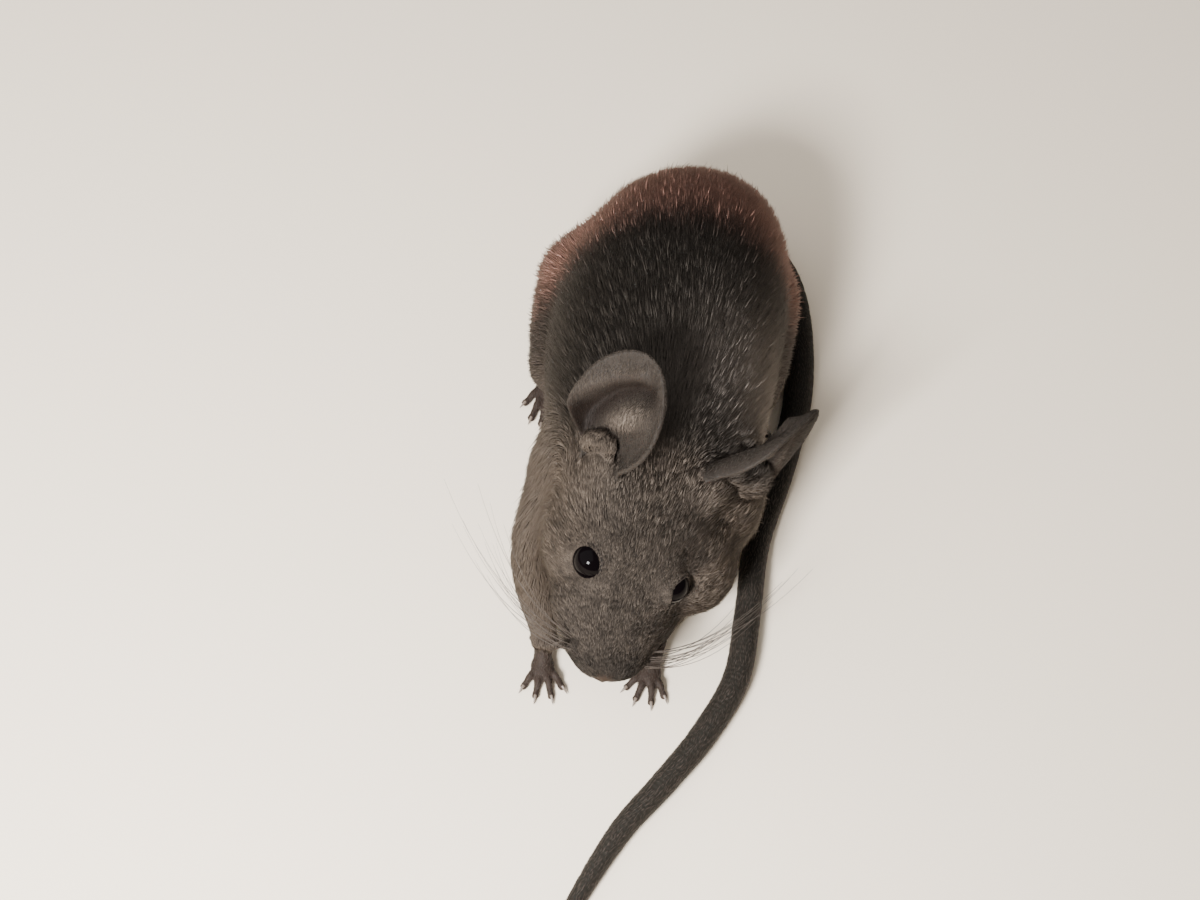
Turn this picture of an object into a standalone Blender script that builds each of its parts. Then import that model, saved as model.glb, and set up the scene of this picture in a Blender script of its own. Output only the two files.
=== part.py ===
"""A house mouse at life size: crouching, head cocked with its left eye down, tail brought forward.

The mouse faces -Y with its left side at +X, and rests on the plane Z = 0 on its belly, feet and tail.
The solids are the outer form of the coat. Sizes are in millimetres until settle() makes them metres.
"""

import math

import bmesh
import bpy
from mathutils import Matrix, Vector

GAP = 0.3  # kept between two pieces that touch
# The middle of the finished pieces' box seen from above, which becomes the origin.
BOX_MIDDLE = Vector((-1.66, -14.1, 0.0))

# Head: its own frame has its origin midway between the eyes.
HEAD_AT = Vector((-1.6, -22.4, 14.0))
HEAD_PITCH = math.radians(-20.0)  # nose down
HEAD_YAW = math.radians(-4.0)  # nose towards its right
HEAD_ROLL = math.radians(-18.0)  # left eye down
EYE_AT = Vector((0.0, 4.85, -0.35))  # ahead, aside, up in the head's frame
EYE_RADIUS = 1.95
EYE_LOOKS = Vector((0.45, 0.9, 0.40))
# Each ear: its root, the way it points and the way its hollow faces, ahead, aside, up.
EARS = {
    "right": (Vector((-12.0, 5.8, 3.7)), Vector((-0.60, 0.18, 0.76)), Vector((0.66, 0.72, 0.26))),
    "left": (Vector((-13.0, 6.8, 3.9)), Vector((-0.50, 0.76, 0.38)), Vector((0.66, 0.60, 0.30))),
}
EAR_LENGTH = 12.0
EAR_HALF_WIDTH = 5.2
EAR_THICK = 0.8
EAR_ROOT = 2.0  # length sunk in the head
NOSE_AT = Vector((11.1, 0.0, -3.4))
NOSE_RADIUS = 1.35

# The pad on each side that the whiskers grow from, in the head's frame: its middle and radii.
WHISKER_PAD = (Vector((7.9, 4.2, -3.5)), Vector((2.3, 1.4, 1.7)))
# Each whisker: its root, the way it leaves the pad and the way it sweeps, ahead, aside, up, and its
# share of the longest.
WHISKERS = (
    (Vector((7.2, 3.7, -2.9)), Vector((-0.10, 1.0, 0.32)), Vector((-1.0, 0.25, 0.12)), 0.95),
    (Vector((7.2, 3.8, -4.0)), Vector((-0.12, 1.0, 0.04)), Vector((-1.0, 0.25, -0.08)), 1.0),
    (Vector((8.6, 3.3, -3.1)), Vector((0.10, 1.0, 0.18)), Vector((-1.0, 0.25, 0.0)), 0.72),
    (Vector((8.6, 3.3, -4.1)), Vector((0.10, 1.0, -0.1)), Vector((-1.0, 0.25, -0.2)), 0.62),
)
WHISKER_LENGTH = 19.0
WHISKER_SWEEP = 0.6  # of its length, how far a whisker's tip is swept aside
WHISKER_RADII = (0.36, 0.25)  # at the root and the tip
WHISKER_SIDES = 5
WHISKER_RINGS = 5

# Trunk, rump first: y, its middle's x and height, half width, height above it, depth below it.
TRUNK_SECTIONS = (
    (31.4, 3.4, 9.4, 3.6, 4.0, 4.4),
    (29.8, 3.2, 10.0, 7.0, 7.2, 7.2),
    (26.2, 2.7, 10.9, 10.2, 10.4, 10.0),
    (21.0, 1.9, 11.8, 12.3, 12.7, 11.6),
    (13.5, 0.9, 12.4, 13.3, 13.8, 12.6),
    (5.0, 0.2, 12.5, 13.1, 13.6, 12.6),
    (-2.0, -0.2, 12.6, 12.5, 12.0, 11.6),
    (-8.0, -0.5, 12.8, 12.0, 10.2, 10.0),
)
# Head, nape first: distance ahead of the eyes, middle's height, half width, above, below.
HEAD_SECTIONS = (
    (-9.0, -2.4, 9.3, 8.0, 7.4),
    (-5.0, -2.5, 8.3, 7.1, 6.7),
    (-1.5, -2.6, 6.9, 6.1, 6.0),
    (2.0, -2.9, 5.9, 5.1, 4.6),
    (5.0, -3.1, 5.1, 4.1, 3.6),
    (7.8, -3.3, 4.4, 3.2, 2.7),
    (10.0, -3.4, 3.4, 2.4, 2.1),
    (10.8, -3.5, 2.2, 1.5, 1.4),
)
HEAD_TAPER = 0.12  # how much narrower the head is above its middle
# Forms joined to both sides of the head: ahead, aside, up of their middle; radii along the same.
HEAD_FORMS = (
    (Vector((-3.8, 4.9, -4.0)), Vector((6.8, 4.5, 4.4))),  # cheek
    (Vector((2.6, 3.9, -3.9)), Vector((4.8, 3.4, 2.7))),  # jowl
    (Vector((7.2, 2.3, -3.9)), Vector((3.2, 2.3, 2.0))),  # whisker pad
    (Vector((4.5, 0.0, -6.2)), Vector((4.4, 2.3, 1.8))),  # chin
    (Vector((-11.4, 5.7, 3.0)), Vector((3.9, 3.3, 2.6))),  # swelling round the ear's root
)
# Neck fur pushed out by the tilted head: middle and radii.
RUFF = (
    (Vector((4.6, -17.4, 9.2)), Vector((5.6, 6.2, 5.0))),
    (Vector((4.8, -16.4, 12.0)), Vector((4.4, 5.2, 4.0))),
)
RING_SIDES = 40

# Swellings joined to the trunk: middle, radii, tilt about X in degrees.
HAUNCH = (Vector((9.2, 14.5, 9.4)), Vector((5.0, 9.6, 8.6)), 18.0)
SHOULDER = (Vector((7.4, -9.5, 10.6)), Vector((5.8, 7.6, 8.0)), -10.0)
# Legs: joints from the top down, each with its radius.
FORELEGS = {
    "right": ((-8.2, -10.0, 11.0, 5.4), (-10.9, -17.8, 7.2, 3.5), (-9.2, -25.6, 2.6, 1.35)),
    "left": ((6.6, -8.5, 9.0, 5.4), (5.2, -16.0, 5.4, 3.1), (2.3, -23.6, 2.5, 1.35)),
}
HINDLEGS = {
    "right": ((-8.4, 17.0, 9.6, 6.6), (-10.4, 7.2, 6.6, 4.4), (-10.0, 15.5, 3.0, 2.0)),
    "left": ((10.0, 17.5, 9.6, 6.6), (10.8, 7.4, 6.6, 4.4), (11.0, 15.5, 3.0, 2.0)),
}
LEG_ALLOWANCES = (2.6, 1.6, 0.9)  # how far a leg's region reaches past its radius at each joint

# Feet: where the ankle stands and the heading of the toes in degrees towards its left.
FOREFEET = {"right": (Vector((-9.2, -26.2, 0.0)), 6.0), "left": (Vector((2.4, -25.4, 0.0)), -8.0)}
HINDFEET = {"right": (Vector((-10.0, 16.4, 0.0)), -7.0), "left": (Vector((11.0, 16.4, 0.0)), 5.0)}

# Tail: its middle line from its root, and its radius there.
TAIL_LINE = (
    (4.4, 25.5, 7.6, 2.3),
    (6.6, 30.6, 4.2, 2.2),
    (11.0, 31.4, 2.1, 2.1),
    (15.2, 27.2, 1.9, 1.95),
    (17.2, 20.0, 1.75, 1.8),
    (17.4, 10.0, 1.65, 1.7),
    (15.6, 0.0, 1.55, 1.6),
    (13.2, -9.6, 1.4, 1.5),
    (12.4, -18.4, 1.4, 1.5),
    (11.4, -26.4, 1.4, 1.5),
    (8.1, -33.5, 1.4, 1.48),
    (4.1, -39.5, 1.33, 1.4),
    (0.2, -44.9, 1.2, 1.26),
    (-3.3, -51.6, 0.96, 1.0),
    (-5.6, -57.0, 0.8, 0.84),
    (-7.0, -61.0, 0.56, 0.6),
)
TAIL_SIDES = 8
TAIL_RINGS = 48
TAIL_CUTS = (0, 7, 14, 25, 36, 48)  # rings at which the tail is parted

VOXEL = 0.5
BODY_FACES = 9000
REGION_FACES = 300
FOREFOOT_FACES = 330
HINDFOOT_FACES = 370
# Facets left to each piece parted from the body.
FACETS = {
    "trunk": 1590,
    "neck": 470,
    "head": 1700,
    "whiskers": 70,
    "nose": 110,
    "foreleg": 480,
    "hindleg": 540,
}

COATS = {
    "fur": ((0.085, 0.068, 0.056), 0.85),
    "pinna": ((0.16, 0.12, 0.10), 0.6),
    "foot_skin": ((0.24, 0.17, 0.14), 0.55),
    "tail_skin": ((0.10, 0.083, 0.068), 0.6),
    "nose_skin": ((0.06, 0.04, 0.035), 0.4),
    "eye": ((0.006, 0.005, 0.006), 0.08),
}


def material(name):
    """The named finish as a Principled BSDF material."""
    found = bpy.data.materials.get(name)
    if found:
        return found
    colour, roughness = COATS[name]
    made = bpy.data.materials.new(name)
    made.use_nodes = True
    shader = made.node_tree.nodes["Principled BSDF"]
    shader.inputs["Base Color"].default_value = (*colour, 1.0)
    shader.inputs["Roughness"].default_value = roughness
    return made


def head_axes():
    """Ahead, left and up of the head, as unit vectors."""
    turned = (
        Matrix.Rotation(HEAD_YAW, 3, "Z")
        @ Matrix.Rotation(-HEAD_PITCH, 3, "X")
        @ Matrix.Rotation(-HEAD_ROLL, 3, "Y")
    )
    return turned @ Vector((0, -1, 0)), turned @ Vector((1, 0, 0)), turned @ Vector((0, 0, 1))


def head_point(ahead, aside, up):
    """A point of the head's frame, in the mouse's frame."""
    forward, left, upward = head_axes()
    return HEAD_AT + ahead * forward + aside * left + up * upward


def head_direction(parts, side):
    """A direction given as ahead, aside, up of the head, mirrored where side is -1."""
    forward, left, upward = head_axes()
    return (parts.x * forward + side * parts.y * left + parts.z * upward).normalized()


def spline(values, t):
    """Catmull-Rom through the values, which are numbers or vectors, at t from 0 to their count less one."""
    last = len(values) - 1
    i = min(int(t), last - 1)
    u = t - i
    p1, p2 = values[i], values[i + 1]
    p0 = values[i - 1] if i else p1 + (p1 - p2)
    p3 = values[i + 2] if i + 2 <= last else p2 + (p2 - p1)
    return (
        p1
        + (p2 - p0) * (0.5 * u)
        + (p0 * 2 - p1 * 5 + p2 * 4 - p3) * (0.5 * u * u)
        + (p1 * 3 - p0 - p2 * 3 + p3) * (0.5 * u * u * u)
    )


def new_object(name, bm, finish="fur"):
    """Links the mesh as an object, its normals outward."""
    bmesh.ops.recalc_face_normals(bm, faces=bm.faces)
    mesh = bpy.data.meshes.new(name)
    bm.to_mesh(mesh)
    bm.free()
    mesh.materials.append(material(finish))
    made = bpy.data.objects.new(name, mesh)
    bpy.context.scene.collection.objects.link(made)
    return made


def loft(rings, start_tip=None, end_tip=None):
    """A closed mesh through the rings, each a list of points, its ends flat or drawn to a tip."""
    bm = bmesh.new()
    loops = [[bm.verts.new(p) for p in ring] for ring in rings]
    for a, b in zip(loops, loops[1:]):
        for k in range(len(a)):
            j = (k + 1) % len(a)
            bm.faces.new((a[k], a[j], b[j], b[k]))
    for loop, tip in ((loops[0], start_tip), (loops[-1], end_tip)):
        if tip is None:
            bm.faces.new(loop)
            continue
        top = bm.verts.new(tip)
        for k in range(len(loop)):
            bm.faces.new((loop[k], loop[(k + 1) % len(loop)], top))
    return bm


def tube(places, radii, sides, rings=None):
    """A tube along the places with rounded ends, as a mesh."""
    count = rings or (len(places) - 1) * 5
    spots = [k * (len(places) - 1) / count for k in range(count + 1)]
    points = [spline(places, t) for t in spots]
    sizes = [spline(radii, t) for t in spots]
    directions = [
        (points[min(k + 1, count)] - points[max(k - 1, 0)]).normalized() for k in range(count + 1)
    ]
    # A rounded end is two smaller rings and a tip.
    for at, away in ((0, -1), (-1, 1)):
        point, size, direction = points[at], sizes[at], directions[at]
        for out, scale in ((0.55, 0.84), (0.87, 0.5)):
            where = 0 if at == 0 else len(points)
            points.insert(where, point + direction * (away * size * out))
            sizes.insert(where, size * scale)
            directions.insert(where, direction)
        where = 0 if at == 0 else len(points)
    made = []
    across = directions[0].orthogonal().normalized()
    for point, size, direction in zip(points, sizes, directions):
        across = (across - direction * across.dot(direction)).normalized()
        other = direction.cross(across)
        made.append([
            point + (across * math.cos(a) + other * math.sin(a)) * size
            for a in (2 * math.pi * (k + 0.5) / sides for k in range(sides))
        ])
    start = points[0] - directions[0] * sizes[0] * 0.22
    end = points[-1] + directions[-1] * sizes[-1] * 0.22
    return loft(made, start, end)


def ellipsoid(middle, radii, tilt=0.0, turn=0.0):
    """An ellipsoid turned about X by tilt and about Z by turn, in degrees."""
    bm = bmesh.new()
    bmesh.ops.create_uvsphere(bm, u_segments=28, v_segments=18, radius=1.0)
    place = (
        Matrix.Translation(middle)
        @ Matrix.Rotation(math.radians(turn), 4, "Z")
        @ Matrix.Rotation(math.radians(tilt), 4, "X")
        @ Matrix.Diagonal((*radii, 1.0))
    )
    bmesh.ops.transform(bm, matrix=place, verts=bm.verts)
    return bm


def modified(obj, kind, **settings):
    """Adds a modifier with these settings and applies it."""
    modifier = obj.modifiers.new(kind.title(), kind)
    for key, value in settings.items():
        setattr(modifier, key, value)
    graph = bpy.context.evaluated_depsgraph_get()
    mesh = bpy.data.meshes.new_from_object(obj.evaluated_get(graph))
    obj.modifiers.remove(modifier)
    old, obj.data = obj.data, mesh
    bpy.data.meshes.remove(old)
    return obj


def joined(name, meshes, finish="fur"):
    """One object of several closed meshes that may overlap."""
    whole = bmesh.new()
    for bm in meshes:
        bmesh.ops.recalc_face_normals(bm, faces=bm.faces)
        part = bpy.data.meshes.new("part")
        bm.to_mesh(part)
        bm.free()
        whole.from_mesh(part)
        bpy.data.meshes.remove(part)
    made = bpy.data.objects.new(name, bpy.data.meshes.new(name))
    whole.to_mesh(made.data)
    whole.free()
    made.data.materials.append(material(finish))
    bpy.context.scene.collection.objects.link(made)
    return made


def fused(obj, voxel, smoothing, faces):
    """Makes one closed skin of overlapping meshes, softened where they meet, with about so many faces."""
    modified(obj, "REMESH", mode="VOXEL", voxel_size=voxel, adaptivity=0.0)
    modified(obj, "SMOOTH", factor=0.5, iterations=smoothing)
    count = sum(len(p.vertices) - 2 for p in obj.data.polygons)
    modified(obj, "DECIMATE", decimate_type="COLLAPSE", ratio=faces / count)
    return obj


def flatten_on_floor(obj):
    """Presses whatever reaches under the floor flat against it."""
    for vert in obj.data.vertices:
        vert.co.z = max(vert.co.z, 0.0)


def largest_island(obj):
    """Keeps only the largest connected piece of a mesh, which a cut may have left in several."""
    bm = bmesh.new()
    bm.from_mesh(obj.data)
    unseen, islands = set(bm.verts), []
    while unseen:
        island, front = set(), [unseen.pop()]
        while front:
            vert = front.pop()
            island.add(vert)
            fresh = {e.other_vert(vert) for e in vert.link_edges} & unseen
            unseen -= fresh
            front.extend(fresh)
        islands.append(island)
    largest = max(islands, key=len)
    bmesh.ops.delete(bm, geom=[v for v in bm.verts if v not in largest], context="VERTS")
    bm.to_mesh(obj.data)
    bm.free()


def boolean(target, tool, operation, gap=0.0):
    """Applies a Boolean to the target with the tool's shape, grown by the gap."""
    cutter = bpy.data.objects.new("cutter", tool.data.copy())
    cutter.hide_render = True
    cutter.display_type = "WIRE"
    bpy.context.scene.collection.objects.link(cutter)
    if gap:
        modified(cutter, "DISPLACE", strength=gap, mid_level=0.0)
    modified(target, "BOOLEAN", operation=operation, object=cutter, solver="EXACT")
    bpy.data.objects.remove(cutter)
    largest_island(target)


def boxes_meet(first, second):
    """Whether the boxes of two meshes, a gap larger, overlap."""
    spans = []
    for obj in (first, second):
        axes = list(zip(*(vert.co for vert in obj.data.vertices)))
        spans.append([(min(axis), max(axis)) for axis in axes])
    return all(a[0] - GAP < b[1] and b[0] - GAP < a[1] for a, b in zip(*spans))


def parted(whole, region, name):
    """Takes the part of the whole inside the region as a piece of its own, a gap apart."""
    piece = bpy.data.objects.new(name, whole.data.copy())
    bpy.context.scene.collection.objects.link(piece)
    boolean(piece, region, "INTERSECT")
    boolean(whole, region, "DIFFERENCE", GAP)
    bpy.data.objects.remove(region)
    return piece


# ---------------------------------------------------------------- body in one run


def section(stations, t):
    """Middle, axes, sizes and taper at t along the body."""
    middle, forward, left, sizes = (spline([s[k] for s in stations], t) for k in range(4))
    forward = forward.normalized()
    left = (left - forward * left.dot(forward)).normalized()
    return middle, forward, left, left.cross(forward), sizes


def core():
    """Trunk, neck and head as one loft."""
    stations = []
    for y, x, z, *sizes in TRUNK_SECTIONS:
        stations.append((Vector((x, y, z)), Vector((0, -1, 0)), Vector((1, 0, 0)), Vector((*sizes, 0.0))))
    forward, left, _ = head_axes()
    for ahead, up, *sizes in HEAD_SECTIONS:
        stations.append((head_point(ahead, 0, up), forward, left, Vector((*sizes, HEAD_TAPER))))
    count = 4 * (len(stations) - 1)
    rings = []
    for k in range(count + 1):
        middle, ahead, aside, up, (half, above, below, taper) = section(stations, k / 4)
        points = []
        for n in range(RING_SIDES):
            angle = 2 * math.pi * (n + 0.5) / RING_SIDES
            c, s = math.cos(angle), math.sin(angle)
            across = half * c * (1 - taper * s)
            points.append(middle + aside * across + up * ((above if s > 0 else below) * s))
        rings.append(points)
    rump, nose = section(stations, 0), section(stations, len(stations) - 1)
    return loft(rings, rump[0] - rump[1] * 0.9, nose[0] + nose[1] * 0.6)


def mirrored_forms(form):
    """The same ellipsoid on both sides of the trunk."""
    middle, radii, tilt = form
    return [
        ellipsoid(Vector((side * middle.x + 0.05 * middle.y, middle.y, middle.z)), radii, tilt)
        for side in (1, -1)
    ]


def head_form(middle, radii, side):
    """An ellipsoid in the head's own frame, on one side."""
    turn = Matrix(head_axes()).transposed().to_4x4()
    bm = ellipsoid(Vector((middle.x, side * middle.y, middle.z)), radii)
    bmesh.ops.transform(bm, matrix=Matrix.Translation(HEAD_AT) @ turn, verts=bm.verts)
    return bm


def head_forms():
    """The forms of the head on both sides, the chin once."""
    return [
        head_form(middle, radii, side)
        for middle, radii in HEAD_FORMS
        for side in ((1, -1) if middle.y else (1,))
    ]


def leg_tube(joints, allowances=(0.0, 0.0, 0.0)):
    """A leg through its joints."""
    places = [Vector(joint[:3]) for joint in joints]
    radii = [joint[3] + extra for joint, extra in zip(joints, allowances)]
    return tube(places, radii, 24, 14)


def body():
    """The body with its legs to the ankles as one skin."""
    meshes = [core(), *head_forms()] + [ellipsoid(*form) for form in RUFF]
    meshes += mirrored_forms(HAUNCH) + mirrored_forms(SHOULDER)
    meshes += [leg_tube(joints) for joints in (*FORELEGS.values(), *HINDLEGS.values())]
    whole = fused(joined("trunk", meshes), VOXEL, 8, BODY_FACES)
    flatten_on_floor(whole)
    return whole


def slab(name, at, ahead):
    """A block that holds all that lies ahead of the place."""
    bm = bmesh.new()
    bmesh.ops.create_cube(bm, size=80)
    turn = Vector((0, 0, 1)).rotation_difference(ahead).to_matrix().to_4x4()
    place = Matrix.Translation(at + ahead * 40) @ turn
    bmesh.ops.transform(bm, matrix=place, verts=bm.verts)
    return new_object(name, bm)


def part_body(whole):
    """Parts the whole into legs, whisker pads, nose, head, neck and trunk."""
    for kind, legs in (("foreleg", FORELEGS), ("hindleg", HINDLEGS)):
        for side, joints in legs.items():
            region = joined("region", [leg_tube(joints, LEG_ALLOWANCES)])
            parted(whole, fused(region, VOXEL, 6, REGION_FACES), f"{kind}_{side}")
    forward = head_axes()[0]
    for side in (1, -1):
        region = joined("region", [head_form(*WHISKER_PAD, side)])
        parted(whole, region, "whiskers_left" if side > 0 else "whiskers_right")
    tip = new_object("region", ellipsoid(head_point(*NOSE_AT), (NOSE_RADIUS,) * 3))
    nose = parted(whole, tip, "nose")
    nose.data.materials.clear()
    nose.data.materials.append(material("nose_skin"))
    parted(whole, slab("region", head_point(-12.0, 0, -2), forward), "head")
    neck_ahead = (forward + Vector((0, -1, 0)) * 2).normalized()
    parted(whole, slab("region", Vector((0, -4.0, 12.0)), neck_ahead), "neck")


# ---------------------------------------------------------------- eyes and ears


def eye(side):
    """The eyeball on one side: side is 1 for its left, -1 for its right."""
    bm = bmesh.new()
    bmesh.ops.create_uvsphere(bm, u_segments=14, v_segments=8, radius=EYE_RADIUS)
    aim = head_direction(EYE_LOOKS, side)
    turn = Vector((0, 0, 1)).rotation_difference(aim).to_matrix()
    bmesh.ops.transform(bm, matrix=turn.to_4x4(), verts=bm.verts)
    bmesh.ops.translate(bm, vec=head_point(EYE_AT.x, side * EYE_AT.y, EYE_AT.z), verts=bm.verts)
    return new_object("eye_left" if side > 0 else "eye_right", bm, "eye")


def ear_surface(across, along):
    """A point of the pinna: across from -1 at its front edge to 1, along from 0 at its root to 1."""
    round_tip = math.sqrt(max(0.0, 1 - max(0.0, (along - 0.45) / 0.55) ** 2.3))
    root = 0.55 + 0.45 * math.sin(min(along / 0.5, 1.0) * math.pi / 2)
    half = EAR_HALF_WIDTH * round_tip * root
    curl = 1.0 - 0.4 * along  # radians that the edges turn forward
    bow = across * curl
    sideways = half * math.sin(bow) / math.sin(curl)
    forward = half * (1 - math.cos(bow)) * 0.95
    lean = 1.5 * along * along  # the tip bends a little back
    return sideways, along * EAR_LENGTH, forward - lean


def ear(side):
    """The pinna on one side, a cupped shell with a rounded tip."""
    columns, rows = 9, 8
    at, points, looks = EARS["left" if side > 0 else "right"]
    axis = head_direction(points, side)
    faces = head_direction(looks, side)
    faces = (faces - axis * faces.dot(axis)).normalized()
    across_axis = axis.cross(faces) * side
    root = head_point(at.x, side * at.y, at.z) - axis * EAR_ROOT
    bm = bmesh.new()

    def layer(offset):
        grid = []
        for j in range(rows + 1):
            along = math.sin(j / rows * math.pi / 2 * 0.985)
            grid.append([])
            for i in range(columns + 1):
                x, y, z = ear_surface(2 * i / columns - 1, along)
                place = root + across_axis * x + axis * y + faces * (z + offset)
                grid[-1].append(bm.verts.new(place))
        return grid

    front, back = layer(EAR_THICK / 2), layer(-EAR_THICK / 2)
    for j in range(rows):
        for i in range(columns):
            for grid in (front, back):
                bm.faces.new((grid[j][i], grid[j][i + 1], grid[j + 1][i + 1], grid[j + 1][i]))
        for i in (0, columns):
            bm.faces.new((front[j][i], front[j + 1][i], back[j + 1][i], back[j][i]))
    for i in range(columns):
        for j in (0, rows):
            bm.faces.new((front[j][i], front[j][i + 1], back[j][i + 1], back[j][i]))
    return new_object("ear_left" if side > 0 else "ear_right", bm, "pinna")


def whisker(root, out, sweep, share, side):
    """A whisker that leaves its pad outward and sweeps back, thinning to its tip."""
    start = head_point(root.x, side * root.y, root.z)
    out, sweep = head_direction(out, side), head_direction(sweep, side)
    length = WHISKER_LENGTH * share

    def place(t):
        return start + out * (length * t * (1 - 0.25 * t)) + sweep * (length * WHISKER_SWEEP * t * t)

    rings = []
    for k in range(WHISKER_RINGS):
        t = k / (WHISKER_RINGS - 1)
        ahead = (place(t + 0.01) - place(t - 0.01)).normalized()
        aside = ahead.cross(Vector((0, 0, 1))).normalized()
        up = aside.cross(ahead)
        size = spline(WHISKER_RADII, t)
        rings.append([
            place(t) + (aside * math.cos(a) + up * math.sin(a)) * size
            for a in (2 * math.pi * n / WHISKER_SIDES for n in range(WHISKER_SIDES))
        ])
    return loft(rings)


def add_whiskers():
    """Joins each side's whiskers to their pad."""
    for side, word in ((1, "left"), (-1, "right")):
        pad = bpy.data.objects[f"whiskers_{word}"]
        for form in WHISKERS:
            strand = new_object("strand", whisker(*form, side))
            boolean(pad, strand, "UNION")
            bpy.data.objects.remove(strand)


# ---------------------------------------------------------------- feet and tail


def foot(name, ankle, heading, meshes, faces):
    """Sets a foot built ahead of the origin down at the ankle, its sole on the floor."""
    made = fused(joined(name, meshes, "foot_skin"), 0.2, 3, faces)
    place = Matrix.Translation(ankle) @ Matrix.Rotation(math.radians(heading), 4, "Z")
    made.data.transform(place)
    flatten_on_floor(made)
    largest_island(made)
    return made


def digit(root, spread, length, radius, height):
    """A toe with its claw, from its root, spread in degrees to the left of straight ahead."""
    ahead = Vector((math.sin(math.radians(spread)), -math.cos(math.radians(spread)), 0))
    knuckle = root + ahead * (length * 0.45) + Vector((0, 0, height))
    pad = root + ahead * length + Vector((0, 0, radius * 0.9 - root.z))
    claw = pad + ahead * (length * 0.32) + Vector((0, 0, -radius * 0.25))
    return tube([root, knuckle, pad, claw], [radius * 1.15, radius, radius, radius * 0.62], 10, 9)


def forefoot(side):
    """A fore paw of four spread fingers."""
    ankle, heading = FOREFEET[side]
    meshes = [
        ellipsoid(Vector((0, -1.3, 0.85)), (1.35, 1.75, 0.95)),
        tube([Vector((0, 0.9, 2.3)), Vector((0, -0.3, 1.3))], [1.0, 1.05], 14),
    ]
    for aside, spread, length in ((-1.0, -34, 1.7), (-0.38, -10, 2.2), (0.38, 12, 2.2), (1.0, 36, 1.7)):
        root = Vector((aside, -2.3 + abs(aside) * 0.4, 0.75))
        meshes.append(digit(root, spread, length, 0.42, 0.12))
    return foot(f"forefoot_{side}", ankle, heading, meshes, FOREFOOT_FACES)


def hindfoot(side):
    """A long hind foot of five toes, the outer two shorter."""
    ankle, heading = HINDFEET[side]
    sole = [Vector((0, 0.6, 1.5)), Vector((0, -4.5, 1.25)), Vector((0, -8.8, 1.15))]
    meshes = [
        tube(sole, [1.5, 1.2, 1.15], 14, 8),
        ellipsoid(Vector((0, -9.0, 1.0)), (1.75, 2.0, 1.05)),
    ]
    toes = ((-1.25, -30, 2.1, 0.9), (-0.72, -10, 3.0, 0.2), (0.0, 0, 3.2, 0.0), (0.72, 10, 3.0, 0.2),
            (1.25, 30, 2.1, 0.9))
    for aside, spread, length, behind in toes:
        meshes.append(digit(Vector((aside, -10.3 + behind, 0.85)), spread, length, 0.48, 0.15))
    return foot(f"hindfoot_{side}", ankle, heading, meshes, HINDFOOT_FACES)


def tail():
    """The tail in lengths, each a tapering tube with a narrow flat beneath it."""
    places = [Vector((x, y, z)) for x, y, z, _ in TAIL_LINE]
    radii = [r for *_, r in TAIL_LINE]
    last = len(places) - 1
    made = []
    for node, (start, end) in enumerate(zip(TAIL_CUTS, TAIL_CUTS[1:])):
        rings = []
        for k in range(start, end + 1):
            t = last * k / TAIL_RINGS
            point = spline(places, t)
            ahead = (spline(places, min(t + 0.02, last)) - spline(places, max(t - 0.02, 0))).normalized()
            aside = ahead.cross(Vector((0, 0, 1))).normalized()
            up = aside.cross(ahead)
            if k == end < TAIL_RINGS:
                point = point - ahead * GAP
            size = spline(radii, t)
            rings.append([
                point + (aside * math.cos(a) + up * math.sin(a)) * size
                for a in (2 * math.pi * (n + 0.5) / TAIL_SIDES for n in range(TAIL_SIDES))
            ])
        tip = None
        if end == TAIL_RINGS:
            tip = places[-1] + (places[-1] - places[-2]).normalized() * 0.9
            tip.z = 0.25
        piece = new_object(f"tail_{node + 1}", loft(rings, end_tip=tip), "tail_skin")
        flatten_on_floor(piece)
        made.append(piece)
    return made


def thin_out():
    """Leaves each piece parted from the body its own number of facets."""
    for obj in bpy.data.objects:
        wanted = FACETS.get(obj.name.split("_")[0])
        count = sum(len(p.vertices) - 2 for p in obj.data.polygons)
        if wanted and count > wanted:
            modified(obj, "DECIMATE", decimate_type="COLLAPSE", ratio=wanted / count)
            flatten_on_floor(obj)


def settle():
    """Turns every piece from millimetres to metres about the middle of the box."""
    place = Matrix.Diagonal((0.001, 0.001, 0.001, 1.0)) @ Matrix.Translation(-BOX_MIDDLE)
    for obj in bpy.data.objects:
        obj.data.transform(place)
        bm = bmesh.new()
        bm.from_mesh(obj.data)
        bmesh.ops.triangulate(bm, faces=[f for f in bm.faces if len(f.verts) > 4])
        bm.to_mesh(obj.data)
        bm.free()
        obj.data.name = obj.name


def main():
    """Builds the mouse."""
    for obj in list(bpy.data.objects):
        bpy.data.objects.remove(obj)
    part_body(body())
    flesh = list(bpy.data.objects)
    for side in (1, -1):
        eye(side)
        ear(side)
    for side in ("left", "right"):
        forefoot(side)
        hindfoot(side)
    tail()
    inset = [obj for obj in bpy.data.objects if obj not in flesh]
    for piece in flesh:
        for obj in inset:
            if boxes_meet(piece, obj):
                boolean(piece, obj, "DIFFERENCE", GAP)
    thin_out()
    add_whiskers()
    settle()


main()
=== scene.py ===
"""A house mouse at life size, crouched with its head cocked and its tail brought forward.

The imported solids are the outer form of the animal, out to the tips of its coat. Here one skin is
drawn inside them by the coat's depth, and carries the coat as small solid tufts. Lids, the folds of
the ears, nostrils and lips belong to the skin; eyes, claws and whiskers are pieces of their own.
Sizes are in millimetres, times MM.
"""

import logging
import math
from collections.abc import Callable
from dataclasses import dataclass, field
from enum import Enum

import bmesh
import bpy
import numpy as np
from mathutils import Matrix, Vector
from mathutils.bvhtree import BVHTree
from mathutils.kdtree import KDTree


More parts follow.
